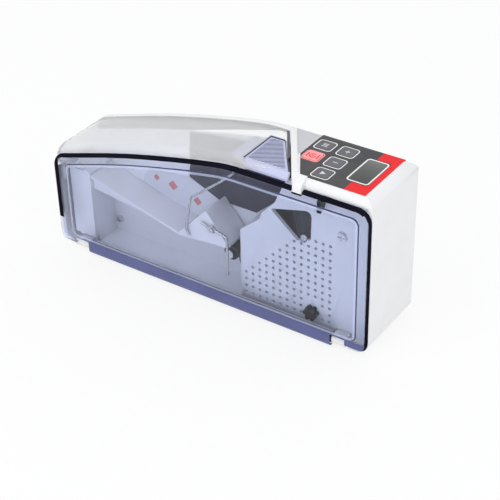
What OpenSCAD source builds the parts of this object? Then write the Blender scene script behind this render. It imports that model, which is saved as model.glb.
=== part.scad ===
// Portable banknote counter with counterfeit sensor: white rear shell, smoked front door, clear top lid,
// note tray with a hopper plate and a wedge guide, a geared feed roller behind a perforated deck, a key
// panel beside a diagonal catch rib, and an AA battery bay with a hinged cover on the back.
// Frame: +X along the length towards the key panel, +Y to the back, +Z up, origin under the middle.

/* [Body] */
// Overall length
body_len = 190; // [184:1:230]
// Overall depth, front door included
body_depth = 50; // [49:0.5:60]
// Overall height, catch rib included
body_h = 90; // [86:0.5:110]
// Wall of the rear shell
shell_wall = 2.2; // [1.8:0.1:2.6]
// Height that the rubber feet stand proud
foot_h = 0.8; // [0.5:0.1:1.2]
// Height of the catch rib above the top
rib_h = 0.8; // [0.4:0.1:1.4]
// Width of the catch rib, along the length
rib_w = 3.6; // [3:0.1:5]
// Height of the top at the left end
left_top = 61; // [56:0.5:66]
// Height of the top at the first break of the arch
arch_low = 76.3; // [74:0.1:78]
// Height of the top at the second break of the arch
arch_high = 85.2; // [84:0.1:86]
// Round of the two top corners
top_corner_r = 7.5; // [5:0.5:9]
// Round of the two bottom corners
base_corner_r = 8; // [6:0.5:9]
// Round along the top back edge
back_top_r = 10; // [6:0.5:12]
// Round along the bottom back edge
back_base_r = 7; // [4:0.5:8]
// Round of the upright back edges
back_side_r = 4; // [3:0.5:4]

/* [Door and lid] */
// Depth of the front door
door_d = 3.5; // [3.4:0.1:4.2]
// Wall of the door
door_wall = 1.6; // [1.2:0.1:1.8]
// Height that the door's window panel stands proud
door_panel = 0.6; // [0.4:0.1:0.8]
// Drop from the top surface to the door's top edge
rim_drop = 5; // [4:0.1:6]
// Radius of the door's hinge barrel
barrel_r = 3.2; // [2.8:0.1:3.4]
// Wall of the lid
lid_wall = 1.8; // [1.4:0.1:2]
// Height of the lid's back skirt
lid_skirt = 14; // [13:0.5:16]
// Radius of the hinge pins
pin_r = 1; // [0.8:0.1:1.2]
// Running clearance round a pin
run_fit = 0.06; // [0.03:0.01:0.1]
// Gap between covers
gap = 0.4; // [0.3:0.05:0.5]
// Ribs in the lid's thumb grip
grip_ribs = 16; // [8:1:17]

/* [Note path] */
// Thickness of the tray, hopper and wedge sheet
sheet = 1.6; // [1.2:0.1:2]
// Radius of the feed tyres
feed_r = 10.8; // [9.5:0.1:11.5]
// Radius of the pinch rollers
pinch_r = 4.2; // [3.5:0.1:4.6]
// Nip between the feed tyres and the pinch rollers
nip = 0.3; // [0.25:0.05:0.5]
// Radius of the feed shaft
shaft_r = 2; // [1.5:0.1:2.5]
// Diameter of the formed wires
wire_d = 1.3; // [1:0.1:1.6]
// Diameter of the vent holes
vent_d = 1.8; // [1.2:0.1:2.2]
// Pitch of the vent holes
vent_pitch = 4.05; // [3.6:0.05:4.1]

/* [Drive] */
// Module of the gears
gear_m = 0.8; // [0.7:0.05:0.8]
// Teeth of the motor pinion
pinion_teeth = 12; // [10:1:14]
// Teeth of the idler's large wheel
idler_teeth = 40; // [36:1:42]
// Teeth of the idler's small wheel
idler_pinion_teeth = 14; // [12:1:16]
// Teeth of the feed gear
feed_teeth = 24; // [20:1:26]
// Diameter of the motor
motor_d = 21; // [18:1:24]
// Length of the motor
motor_len = 17; // [14:1:18]

/* [Panel and power] */
// Width of a key
key_w = 8.2; // [7:0.1:9]
// Depth of a key
key_l = 7.6; // [7:0.1:8.2]
// Travel of a key
key_travel = 0.5; // [0.3:0.1:0.6]
// Diameter of an AA cell
cell_d = 14.2; // [14:0.1:14.4]
// Length of an AA cell
cell_len = 50; // [49.5:0.1:50.5]
// Opening of the supply socket
jack_d = 5.7; // [5.5:0.1:6.3]

/* [Hidden] */

arc_steps = 6;
big = 500;

// Faces of the body
x0 = -body_len / 2;
x1 = body_len / 2;
y0 = -body_depth / 2;
y1 = body_depth / 2;
yr = y0 + door_d;                    // back edge of the door's rim
ys = yr + gap;                       // front edge of the shell and the lid
top_z = body_h - rib_h;
rim_z = top_z - rim_drop;
base_z = foot_h;
floor_z = base_z + shell_wall;
in_y = y1 - shell_wall;              // inside of the back wall
in_z = top_z - shell_wall;           // underside of the top wall

// Arch of the top: three straights blended by long arcs
arch_x1 = x0 + 50;
arch_x2 = x1 - 101;
peak_x = x1 - 79;
arch_r = 400;
peak_r = 60;

// Diagonal line of the catch rib in plan
rib_x = x1 - 41.2;                   // rib centre at the rim
rib_lean = 0.65;                     // sideways run per unit of depth
hook_x = [x1 - 41.1, x1 - 36.3];
hook_z = rim_z - 1.9;

// Underside of the thumb grip
grip_z = top_z - 3.4;

// Hinges
hinge_y = y0 + 4;
hinge_z = base_z + 4.2;
ear_in = 11.4;                       // outer side of each door notch, measured from the end
notch_w = 8.2;
ear_r = 2.6;
corner_foot_z = hinge_z + 0.2;       // foot of the door outside its notches
door_foot_z = base_z + 0.2;
sweep_y = hinge_y + 4.8;             // the door's foot swings in front of this plane
lid_pin_x = x0 + 2.4;
lid_pin_z = left_top - 14;
knuckle_r = 2.3;
lid_ear_w = 6;
lid_ear_y = [ys + 0.2, in_y - 1.2 - lid_ear_w];
side_top_z = lid_pin_z - 3.6;        // top of the shell's left wall

// Tray and throat
yt = yr + 3.5;                       // front of the tray parts
yc = y1 - 25;                        // front face of the tray's back wall
wedge_top = [x1 - 95.5, 50.5];
wedge_l = [wedge_top[0] - 17.9, 31.6];
wedge_r = [wedge_top[0] + 12.9, 34];
hopper_top = [x0 + 20.2, 47];
hopper_rib = 7;                      // depth of the ribs under the hopper plate
block_x = x1 - 75.6;                 // left face of the deck
end_x = [x0 + 6.5, x0 + 20];
end_z = 50;
throat_t = 1;

// Deck
yd = yr + 4.5;                       // front face of the deck
deck_t = 2;
deck_z = rim_z - 1.2;
deck_outline = [[block_x, 0], [block_x, 46], [block_x + 11.5, 55.9], [block_x + 12.7, 59.8],
    [block_x + 20.2, 68], [block_x + 27, deck_z]];
thumb_x = x1 - 33.4;
thumb_z = 12.9;
boss_x = x1 - 17.5;
boss_z = 62.3;
arm_screw = [x1 - 39.4, 53.2];
vent_start = [block_x + 3, 9.6];
vent_clear = 6;                      // solid ground kept round the thumb screw

// Rollers
feed_z = 27;
feed_x = block_x + feed_r - 3.9;
pinch_x = feed_x - feed_r - nip - pinch_r;
pinch_shaft_r = 1.5;
tyre_w = 5;
tyre_t = 2.4;
tyre_y = [yd + deck_t + 1.7, yc - 0.9 - tyre_w];

// Formed wires
press_pivot = [x1 - 78.2, 77.4];
press_y = yt - 1.1;
stack_pivot = [wedge_top[0] + 4, 41.5];

// Drive plate and gear centres
yp = yc + 8;
plate_t = 2;
gear_w = 2.6;
yg = yp + plate_t + 0.6;             // front of the feed gear and of the idler's small wheel
yw = yg + gear_w + 0.5;              // front of the idler's large wheel and of the pinion
idler_angle = 20;
motor_angle = -12;
mesh_slack = 0.15;
motor_shaft_r = 1;
idler_pin_r = 1.5;
function pitch_r(teeth) = gear_m * teeth / 2;
idler_far = pitch_r(idler_pinion_teeth) + pitch_r(feed_teeth) + mesh_slack;
motor_far = pitch_r(idler_teeth) + pitch_r(pinion_teeth) + mesh_slack;
idler_x = feed_x + idler_far * cos(idler_angle);
idler_z = feed_z + idler_far * sin(idler_angle);
motor_x = idler_x + motor_far * cos(motor_angle);
motor_z = idler_z + motor_far * sin(motor_angle);
pillars = [[block_x + 5.6, 57], [x1 - 22, 46], [x1 - 46, 11.4]];
pillar_r = 3.2;

// Key panel
recess = 1.2;
panel_t = 0.8;
panel_z = top_z - recess;            // floor of the panel's recess
panel_x = [x1 - 50.8, x1 - 40.4, x1 - 5.6];
panel_y = [ys + 2.8, y1 - 5.5];
key_col = [x1 - 48.6, x1 - 36.3];
key_row = [y0 + 13.4, y0 + 24.6, y0 + 36.1];
key_r = 1.2;
key_slack = 0.3;
window_x = x1 - 20.4;
window_y = y0 + 15.4;
window_w = 10.4;
window_l = 20.6;
board_z = in_z - 6.2;
board_t = 1.6;
board_cut = 11;                      // corner left out of the board beside the rib
board_x = [x1 - 49, x1 - 5];
board_y = [y0 + 10.4, in_y - 1.3];
posts = [[x1 - 38.4, board_y[1] - 2.3], [board_x[1] - 2.6, board_y[1] - 2.6],
    [board_x[1] - 2.6, board_y[0] + 2.7]];

// Power inlet and switch on the back
jack_x = x1 - 14;
jack_z = 16;
switch_x = x1 - 28;
switch_z = 16;
slot_w = 8;
slot_h = 3.6;
slide_run = 3;

// Battery bay
bay_x = x0 + 3.9;
bay_z = floor_z + 6;
bay_wall = 1.2;
bay_w = 2 * cell_len + 3.6;
bay_h = 2 * cell_d + 1.2;
cover_t = 2;
bay_y = y1 - cover_t - gap - cell_d - 0.6;
cover_z = [bay_z - 1.6, bay_z + bay_h + 2.4];
cover_pin_y = y1 - 1.1;
cover_pin_r = 0.7;
cover_x = [bay_x, bay_x + bay_w + 4];
cell_x = bay_x + bay_wall + 0.1;
cell_shift = 3.3;                    // the upper pair stands off the left wall by a spring

// ---- helpers ----
function unit(v) = v / norm(v);
function cut(p) = [p[0], p[1]];
function rib_at(y) = rib_x - rib_lean * (y - yr);

// Points of the round at corner b between neighbours a and c
function fillet(a, b, c, r, n) =
    let (u = unit(a - b), v = unit(c - b), half = acos(u * v) / 2, centre = b + unit(u + v) * r / sin(half),
        s = b + u * r / tan(half) - centre, e = b + v * r / tan(half) - centre,
        from = atan2(s[1], s[0]), turn = atan2(e[1], e[0]) - from,
        sweep = turn > 180 ? turn - 360 : turn < -180 ? turn + 360 : turn)
    [for (i = [0 : n]) centre + r * [cos(from + sweep * i / n), sin(from + sweep * i / n)]];

// Closed outline with each corner [x, y, radius] rounded
function rounded(p, n = arc_steps) =
    [for (i = [0 : len(p) - 1])
        let (a = cut(p[(i + len(p) - 1) % len(p)]), b = cut(p[i]), c = cut(p[(i + 1) % len(p)]))
        each (p[i][2] > 0 ? fillet(a, b, c, p[i][2], n) : [b])];

// Corners of a counter-clockwise outline moved inwards by d
function inset(p, d) =
    [for (i = [0 : len(p) - 1])
        let (a = cut(p[(i + len(p) - 1) % len(p)]), b = cut(p[i]), c = cut(p[(i + 1) % len(p)]),
            u = unit(b - a), v = unit(c - b), nu = [-u[1], u[0]], nv = [-v[1], v[0]],
            q = b + d * (nu + nv) / (1 + nu * nv))
        [q[0], q[1], max(p[i][2] - d, 0.3)]];

// Solid between outlines of equal length, one ring after another
module loft(rings) {
    n = len(rings[0]);
    m = len(rings);
    polyhedron(points = [for (r = rings) each r],
        faces = concat([[for (i = [n - 1 : -1 : 0]) i]], [[for (i = [0 : n - 1]) (m - 1) * n + i]],
            [for (k = [0 : m - 2], i = [0 : n - 1])
                each [[k * n + i, (k + 1) * n + (i + 1) % n, (k + 1) * n + i],
                    [k * n + i, k * n + (i + 1) % n, (k + 1) * n + (i + 1) % n]]]),
        convexity = 8);
}

// Plan of X and Z drawn out between two values of Y
module xz(from, to) {
    translate([0, to, 0]) rotate([90, 0, 0]) linear_extrude(to - from) children();
}

// Plan of Y and Z drawn out between two values of X
module yz(from, to) {
    translate([from, 0, 0]) rotate([90, 0, 90]) linear_extrude(to - from) children();
}

// Plan of X and Y drawn out between two values of Z
module xy(from, to) {
    translate([0, 0, from]) linear_extrude(to - from) children();
}

module rod_y(r, x, z, from, to) {
    translate([x, to, z]) rotate([90, 0, 0]) cylinder(r = r, h = to - from, $fn = 32);
}

module rod_x(r, y, z, from, to) {
    translate([from, y, z]) rotate([0, 90, 0]) cylinder(r = r, h = to - from, $fn = 32);
}

module rod_z(r, x, y, from, to) {
    translate([x, y, from]) cylinder(r = r, h = to - from, $fn = 32);
}

module box(from, to) {
    translate(from) cube(to - from);
}

module round_rect(x, y, w, l, r) {
    polygon(rounded([[x, y, r], [x + w, y, r], [x + w, y + l, r], [x, y + l, r]], 4));
}

// Cross-head screw driven along +Y: head from y, shank behind it
module screw_y(x, z, y, head_r, head_h, shank_r, len) {
    difference() {
        union() {
            rod_y(head_r, x, z, y, y + head_h);
            rod_y(shank_r, x, z, y + head_h - 0.1, y + head_h + len);
        }
        for (a = [0, 90]) translate([x, y, z]) rotate([0, a, 0])
            cube([head_r * 1.3, head_h, head_r * 0.3], center = true);
    }
}

// Formed wire through a list of points, with round bends and ends
module wire(path) {
    for (i = [1 : len(path) - 1]) translate(path[i]) sphere(d = wire_d + 0.14, $fn = 24);
    for (i = [0 : len(path) - 2]) {
        v = path[i + 1] - path[i];
        translate(path[i]) rotate([0, acos(v[2] / norm(v)), atan2(v[1], v[0])])
            cylinder(d = wire_d, h = norm(v), $fn = 24);
    }
}

// Spur gear about +Y with straight-sided teeth, bored through
module gear(teeth, x, z, from, to, bore, turn = 0) {
    root = pitch_r(teeth) - 1.1 * gear_m;
    tip = pitch_r(teeth) + 0.85 * gear_m;
    step = 360 / teeth;
    difference() {
        xz(from, to) translate([x, z]) rotate(turn) polygon([for (i = [0 : teeth - 1], k = [0 : 3])
            let (r = k == 0 || k == 3 ? root : tip, a = (i + [-0.27, -0.12, 0.12, 0.27][k]) * step)
            [r * cos(a), r * sin(a)]]);
        if (bore > 0) rod_y(bore, x, z, from - 1, to + 1);
    }
}

// ---- shared outlines ----
body_corners = [[x0, base_z, base_corner_r], [x1, base_z, base_corner_r], [x1, top_z, top_corner_r],
    [peak_x, top_z, peak_r], [arch_x2, arch_high, arch_r], [arch_x1, arch_low, arch_r],
    [x0, left_top, top_corner_r]];
rim_corners = [[x0, door_foot_z, base_corner_r], [x1, door_foot_z, base_corner_r],
    [x1, rim_z, top_corner_r - 0.5], [peak_x, rim_z, peak_r], [arch_x2, arch_high - rim_drop, arch_r],
    [arch_x1, arch_low - rim_drop, arch_r], [x0, left_top - rim_drop, top_corner_r]];
panel_corners = [[x0 + 9, 9.4, 4], [x1 - 5, 9.4, 4], [x1 - 5, rim_z - 4.6, 4],
    [peak_x, rim_z - 4.6, peak_r], [arch_x2, arch_high - rim_drop - 4.8, arch_r],
    [arch_x1, arch_low - rim_drop - 4.8, arch_r], [x0 + 9, left_top - rim_drop - 2.4, 4]];

// Tops of the arch as [x, z], left end to right end, with and without the left corner's round
arch_line = concat([[x0, left_top]],
    fillet([x0, left_top], [arch_x1, arch_low], [arch_x2, arch_high], arch_r, 4),
    fillet([arch_x1, arch_low], [arch_x2, arch_high], [peak_x, top_z], arch_r, 4),
    fillet([arch_x2, arch_high], [peak_x, top_z], [x1, top_z], peak_r, 4), [[x1, top_z]]);
function corner_line(d) = fillet([x0 + d, 0], cut(inset(body_corners, d)[6]), cut(inset(body_corners, d)[5]),
    top_corner_r - d, 8);
function arch_z(x) = lookup(x, arch_line);

// Height of the lid at x, at a depth d below its surface
function lid_z(x, d) = let (c = corner_line(d)) x < c[8][0] ? lookup(x, c) : arch_z(x) - d * 1.03;

// Lid cross-section at x, a depth d below its surface, its feet lowered by low
function lid_ring(x, d = 0, low = 0, at_rib = false) =
    let (z = lid_z(x, d), foot_f = lid_z(x, 0) - rim_drop - 0.2, foot_b = arch_z(x) - lid_skirt,
        r = max(min(back_top_r - d, z - foot_b - 0.4), 0.5),
        rf = max(min(rim_drop - 0.6 - d, z - foot_f - 0.1), 0.2),
        f = ys + d, b = y1 - d)
    [for (p = concat([[f, foot_f - low]], fillet([f, foot_f], [f, z], [b, z], rf, 4),
            fillet([f, z], [b, z], [b, foot_b], r, 6), [[b, foot_b - low]]))
        [at_rib ? rib_at(p[0]) - rib_w / 2 - gap + low : x, p[0], p[1]]];

// ---- rear shell ----
module shell_block(d) {
    intersection() {
        xz(ys - (d > 0 ? 1 : 0), y1 - d) polygon(rounded(inset(body_corners, d)));
        yz(x0, x1) polygon(rounded([[ys + d, base_z + d, 0.3], [y1 - d, base_z + d, back_base_r - d],
            [y1 - d, top_z - d, back_top_r - d], [ys + d, top_z - d, rim_drop - d]]));
        xy(0, body_h) polygon(rounded([[x0 + d, ys, 0], [x1 - d, ys, 0], [x1 - d, y1 - d, back_side_r - d],
            [x0 + d, y1 - d, back_side_r - d]]));
    }
}

// Space left of the catch rib that belongs to the lid
module lid_zone() {
    intersection() {
        xz(ys - 1, y1 + 1) polygon(concat([[x0 - 1, side_top_z], [x0 + 6, side_top_z],
            [x0 + 6, arch_z(x0 + 6) - lid_skirt - gap]],
            [for (p = arch_line) if (p[0] > x0 + 6) [p[0], p[1] - lid_skirt - gap]],
            [[x1, big], [x0 - 1, big]]));
        xy(0, big) polygon([[x0 - 1, ys - 1], [rib_at(ys - 1) - rib_w / 2, ys - 1],
            [rib_at(y1 + 1) - rib_w / 2, y1 + 1], [x0 - 1, y1 + 1]]);
    }
}

module door_ears() {
    for (x = [x0 + ear_in + gap, x1 - ear_in - notch_w + gap])
        difference() {
            yz(x, x + notch_w - 2 * gap) union() {
                translate([hinge_y, hinge_z]) circle(r = ear_r, $fn = 32);
                translate([hinge_y, hinge_z - ear_r]) square([sweep_y - hinge_y + 1, 2 * ear_r]);
            }
            rod_x(pin_r, hinge_y, hinge_z, x - 1, x + notch_w);
        }
}

module lid_ears() {
    for (y = lid_ear_y)
        difference() {
            xz(y, y + lid_ear_w) union() {
                translate([lid_pin_x, lid_pin_z]) circle(r = knuckle_r, $fn = 32);
                translate([x0 + 0.1, side_top_z - 2]) square([2 * knuckle_r, lid_pin_z - side_top_z + 2]);
            }
            rod_y(pin_r, lid_pin_x, lid_pin_z, y - 1, y + lid_ear_w + 1);
        }
}

// Diagonal rib beside the lid, with its rounded front end and the hook over the door's edge
module catch_rib() {
    xy(top_z - 0.5, body_h) polygon([[rib_at(ys + 4) - rib_w / 2, ys + 4], [rib_at(ys + 4) + rib_w / 2, ys + 4],
        [rib_at(y1 - 9) + rib_w / 2, y1 - 9], [rib_at(y1 - 9) - rib_w / 2, y1 - 9]]);
    yz(hook_x[0], hook_x[1]) polygon(rounded([[y0 + 0.9, hook_z, 0.5], [ys - 0.1, hook_z, 0.2],
        [ys - 0.1, rim_z, 0], [ys + 2.6, rim_z + 3.4, 0], [ys + 5.6, body_h - 0.8, 0], [ys + 5.2, body_h, 0.6],
        [ys + 1.6, body_h - 0.9, 2], [y0 + 0.9, rim_z + 2.2, 2]], 4));
}

module rear_shell() {
    color("white") difference() {
        union() {
            difference() {
                shell_block(0);
                shell_block(shell_wall);
                intersection() {
                    xz(ys - 1, ys + 9) polygon(rounded(inset(body_corners, shell_wall)));
                    box([x0, ys - 1, 0], [x1, ys + 9, rim_z]);
                }
                lid_zone();
                box([x0 + ear_in, ys - 1, 0], [x1 - ear_in, sweep_y, corner_foot_z + 1]);
                box([x0 - 1, ys - 1, 0], [x1 + 1, hinge_y + 0.5, corner_foot_z - gap]);
            }
            door_ears();
            lid_ears();
            catch_rib();
            for (p = posts) rod_z(2.2, p[0], p[1], board_z + board_t, in_z + 0.5);
            rod_y(pillar_r, boss_x, boss_z, yd + deck_t, in_y + 0.5);
            box([cover_x[1], in_y - 1.4, cover_z[0] - 2.4], [cover_x[1] + 3, in_y + 0.1, cover_z[0] + 2.4]);
        }
        xy(panel_z, body_h + 1) polygon([[panel_x[0], panel_y[1]], [panel_x[0], panel_y[0] + 16.8],
            [panel_x[1], panel_y[0]], [panel_x[2], panel_y[0]], [panel_x[2], panel_y[1]]]);
        for (c = key_col, r = key_row) if (c != key_col[0] || r != key_row[0])
            xy(in_z - 1, body_h) round_rect(c - key_slack, r - key_slack - key_l / 2, key_w + 2 * key_slack,
                key_l + 2 * key_slack, key_r + key_slack);
        xy(in_z - 1, body_h) round_rect(window_x, window_y, window_w, window_l, 1.2);
        for (p = posts) rod_z(0.9, p[0], p[1], board_z, in_z);
        rod_y(1.1, boss_x, boss_z, yd + deck_t - 1, yd + 14);
        box([cover_x[0], in_y - 2, cover_z[0] - cover_t / 2 - 0.3], [cover_x[1], y1 + 1, cover_z[1] + gap]);
        rod_x(cover_pin_r + run_fit, cover_pin_y, cover_z[0], cover_x[0] - 2, cover_x[1] + 2);
        rod_y(4.6, jack_x, jack_z, in_y - 1, y1 + 1);
        box([switch_x - slot_w / 2, in_y - 1, switch_z - slot_h / 2],
            [switch_x + slot_w / 2, y1 + 1, switch_z + slot_h / 2]);
        for (p = pillars) {
            rod_y(1.3, p[0], p[1], in_y - 1, y1 + 1);
            rod_y(2.8, p[0], p[1], y1 - 1.2, y1 + 1);
        }
        for (x = [-1, 1], y = [sweep_y + 7, y1 - 12]) rod_z(4.1, x * (x1 - 17), y, -1, base_z + 0.8);
    }
}

// ---- note tray ----
module tray_wall() {
    difference() {
        color("whitesmoke") union() {
            xz(yc, yc + sheet) intersection() {
                polygon(rounded(inset(body_corners, shell_wall)));
                polygon([[x0, floor_z], [block_x + 2.5, floor_z], [block_x + 2.5, 46], [block_x + 12.5, 54],
                    [block_x + 24, 68], [block_x + 24, big], [x0, big]]);
            }
            box([x0 + 13, sweep_y + 1.3, floor_z], [block_x - 0.5, yc + sheet, floor_z + 1.4]);
            for (x = [x0 + 22, wedge_top[0], block_x - 6])
                box([x, yc + sheet, floor_z], [x + 1.2, bay_y - 1.2, bay_z - 1]);
        }
        box([x0, yc - 1, side_top_z - 1.5], [x0 + 7, yc + sheet + 1, big]);
        box([x1 - 73, yc - 1, grip_z - gap], [x1, yc + sheet + 1, big]);
        rod_y(1.2, x0 + 23, 11.6, yc - 1, yc + sheet + 1);
        rod_y(pinch_shaft_r, pinch_x, feed_z, yc - 1, yc + sheet + 1);
    }
}

module end_block() {
    color("white") difference() {
        xz(yt, yc) intersection() {
            polygon(rounded([[end_x[0], floor_z, 0.3], [end_x[1], floor_z, 0.3], [end_x[1], end_z, 3],
                [end_x[0], end_z, 3]], 4));
            polygon(rounded(inset(body_corners, shell_wall)));
        }
        xz(yt + sheet, yc + 1) polygon(rounded([[end_x[0] + sheet, floor_z + sheet, 0.3],
            [end_x[1] - sheet, floor_z + sheet, 0.3], [end_x[1] - sheet, end_z - sheet, 1.4],
            [end_x[0] + sheet, end_z - sheet, 1.4]], 4));
        box([end_x[0] - 1, yt - 1, 0], [end_x[1] + 1, sweep_y + 1.3, hinge_z + ear_r + 0.5]);
        box([end_x[0] - 1, yt - 1, 0], [end_x[1] + 1, yc + 1, floor_z + 1.41]);
    }
}

module hopper_plate() {
    drop = sheet / cos(15);
    slope = (hopper_top[1] - wedge_l[1]) / (wedge_l[0] - hopper_top[0]);
    color("white") {
        xz(yt, yc) polygon([hopper_top, hopper_top - [0, drop], wedge_l - [0.3, drop], wedge_l - [0.3, 0]]);
        for (y = [yt + 2, yc - 3.2])
            xz(y, y + sheet) polygon([hopper_top - [0, drop - 0.1], hopper_top - [0, drop + hopper_rib],
                wedge_l + [-hopper_rib, hopper_rib * slope - drop + 0.1]]);
    }
}

module wedge_guide() {
    color("white") difference() {
        xz(yt, yc - throat_t) polygon(rounded([[wedge_l[0], wedge_l[1] - sheet, 0.3],
            [wedge_r[0], wedge_r[1] - sheet, 0.3], [wedge_r[0], wedge_r[1], 0.3],
            [wedge_top[0], wedge_top[1], 1], [wedge_l[0], wedge_l[1], 0.3]], 4));
        xz(yt + sheet, yc + 1) polygon([wedge_l + [3.4, 0.2], wedge_r + [-3.2, 0.2], wedge_top - [0, 3.2]]);
        rod_y(0.9, stack_pivot[0], stack_pivot[1], yt - 1, yt + 7);
    }
}

module throat_panel() {
    color("dimgray") xz(yc - throat_t, yc) intersection() {
        polygon(rounded(inset(body_corners, shell_wall + 0.4)));
        polygon([[x0, 0], [x1, 0], [x1, grip_z - gap], [x1 - 73, grip_z - gap], [x1 - 73, big], [x0, big]]);
        polygon([[wedge_top[0] - 20.5, big], [wedge_top[0] - 22, 54.4], [wedge_top[0] - 3.7, 46.5],
            [block_x - 1, 46.5], [block_x + 10, 56.4], [block_x + 11, 60.3], [block_x + 18.3, 68.6],
            [block_x + 21, 72], [block_x + 21, big]]);
    }
}

module tray_label() {
    color("ghostwhite") xz(yc - 0.3, yc) polygon([[x0 + 41, 42.2], [wedge_l[0] - 1.4, 33],
        [wedge_top[0] - 3.9, 46], [wedge_top[0] - 22.2, 53.8], [x0 + 45, 50]]);
}

module tray_screw() {
    color("silver") screw_y(x0 + 23, 11.6, yc - 1.3, 2.3, 1.3, 1.2, 4.8);
}

// ---- deck ----
// Left edge of the deck, foot to top, moved right by d
function deck_edge(d) = [for (i = [0 : 5]) deck_outline[i] + d * [[1, 0], [1, 0], [1.5, 0], [1.3, 0], [1.5, 0],
    [1.3, 0]][i]];

module deck_cover() {
    color("white") difference() {
        union() {
            xz(yd, yd + deck_t) intersection() {
                polygon(concat(deck_edge(0), [[x1, deck_z], [x1, 0]]));
                polygon(rounded(inset(body_corners, shell_wall)));
            }
            xz(yd, yc - throat_t - 0.3) intersection() {
                polygon(concat(deck_edge(0), [for (i = [5 : -1 : 0]) deck_edge(sheet)[i]]));
                translate([x0, floor_z]) square([body_len, deck_z - floor_z - 5]);
            }
            rod_y(4, feed_x, feed_z, yd + deck_t - 0.1, yd + deck_t + 1);
            rod_y(3.4, thumb_x, thumb_z, yd + deck_t - 0.1, yd + 5);
        }
        box([block_x - 1, yd - 1, 0], [x1, sweep_y, hinge_z + 1.2]);
        box([x1 - ear_in - notch_w, yd - 1, 0], [x1 - ear_in, yd + deck_t + 1, hinge_z + ear_r + 0.5]);
        box([block_x - 1, tyre_y[0] - 0.8, feed_z - feed_r - 0.6],
            [block_x + 6, tyre_y[1] + tyre_w + 0.6, feed_z + feed_r + 0.6]);
        rod_y(2.3, arm_screw[0], arm_screw[1], yd - 1, yd + deck_t + 1);
        xz(yd - 1, yd + deck_t + 1) polygon(rounded([[x1 - 42.7, 51.1, 1], [x1 - 34.9, 53.9, 1],
            [x1 - 34.4, 70.4, 3], [x1 - 57.9, 64.2, 1]], 4));
        for (k = [0 : 12], j = [0 : min(11, 3 + k)]) {
            v = vent_start + vent_pitch * [k, j];
            if (norm(v - [thumb_x, thumb_z]) > vent_clear)
                rod_y(vent_d / 2, v[0], v[1], yd - 1, yd + deck_t + 2);
        }
        rod_y(2.6, feed_x, feed_z, yd + 0.8, yd + deck_t + 2);
        rod_y(1.5 + run_fit, thumb_x, thumb_z, yd - 1, yd + 6);
        rod_y(1.3, boss_x, boss_z, yd - 1, yd + deck_t + 1);
    }
}

module deck_screw() {
    color("silver") screw_y(boss_x, boss_z, yd - 1.4, 2.8, 1.4, 1.1, 10);
}

module sensor_arm() {
    color("dimgray") difference() {
        xz(yd + deck_t, yd + deck_t + 1.8) polygon(rounded([[x1 - 42.6, 47.5, 1], [x1 - 34.6, 48.5, 1],
            [x1 - 33, 73, 1], [x1 - 47.5, 69, 1]], 4));
        rod_y(1, arm_screw[0], arm_screw[1], yd, yd + 6);
    }
}

module sensor_screw() {
    color("silver") screw_y(arm_screw[0], arm_screw[1], yd + deck_t - 1.2, 2, 1.2, 1, 4);
}

module thumb_screw() {
    color("black") difference() {
        union() {
            xz(yd - 3.4, yd - 0.35) union() {
                translate([thumb_x, thumb_z]) circle(r = 3.2, $fn = 32);
                for (a = [0 : 60 : 300]) translate([thumb_x + 2.9 * cos(a), thumb_z + 2.9 * sin(a)])
                    circle(r = 1.05, $fn = 24);
            }
            rod_y(1.5, thumb_x, thumb_z, yd - 0.4, yd + 5.6);
            rod_y(2.4, thumb_x, thumb_z, yd + 5.4, yd + 6.6);
        }
        rod_y(1.6, thumb_x, thumb_z, yd - 4, yd - 2.8);
    }
}

// ---- feed and drive ----
module drive_plate() {
    color("gainsboro") difference() {
        union() {
            xz(yp, yp + plate_t) polygon(rounded([[block_x + 2, 5, 3], [x1 - 18, 5, 3], [x1 - 18, 50, 4],
                [x1 - 40, 61, 4], [block_x + 2, 61, 3]], 4));
            rod_y(4, feed_x, feed_z, yp - 1, yp + 0.5);
            for (p = pillars) rod_y(pillar_r, p[0], p[1], yp + plate_t - 0.5, in_y);
        }
        rod_y(2.6, feed_x, feed_z, yp - 2, yp + plate_t + 1);
        rod_y(idler_pin_r, idler_x, idler_z, yp - 1, yp + plate_t + 1);
        rod_y(3.2, motor_x, motor_z, yp - 1, yp + plate_t + 1);
        for (p = pillars) rod_y(1.1, p[0], p[1], in_y - 8, in_y + 1);
    }
}

module feed_bushes() {
    for (y = [[yd + 0.8, yd + deck_t + 1], [yp - 1, yp + plate_t]])
        color("goldenrod") difference() {
            rod_y(2.6, feed_x, feed_z, y[0], y[1]);
            rod_y(shaft_r + run_fit, feed_x, feed_z, y[0] - 1, y[1] + 1);
        }
}

module feed_shaft() {
    color("silver") rod_y(shaft_r, feed_x, feed_z, yd + 1.2, yg + gear_w);
}

module feed_hub() {
    color("gray") difference() {
        union() {
            rod_y(feed_r - tyre_t, feed_x, feed_z, tyre_y[0], tyre_y[1] + tyre_w);
            for (y = tyre_y) rod_y(feed_r - 1, feed_x, feed_z, y - 0.4, y);
        }
        rod_y(shaft_r, feed_x, feed_z, yd, yc);
    }
}

module feed_tyres() {
    for (y = tyre_y)
        color("dimgray") difference() {
            rod_y(feed_r, feed_x, feed_z, y, y + tyre_w);
            rod_y(feed_r - tyre_t, feed_x, feed_z, y - 1, y + tyre_w + 1);
        }
}

module feed_gear() {
    color("ivory") gear(feed_teeth, feed_x, feed_z, yg, yg + gear_w, shaft_r, idler_angle + 180 / feed_teeth);
}

module idler_pin() {
    color("silver") {
        rod_y(idler_pin_r, idler_x, idler_z, yp, yw + gear_w + 0.4);
        rod_y(2.6, idler_x, idler_z, yw + gear_w + 0.4, yw + gear_w + 1.2);
    }
}

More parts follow.
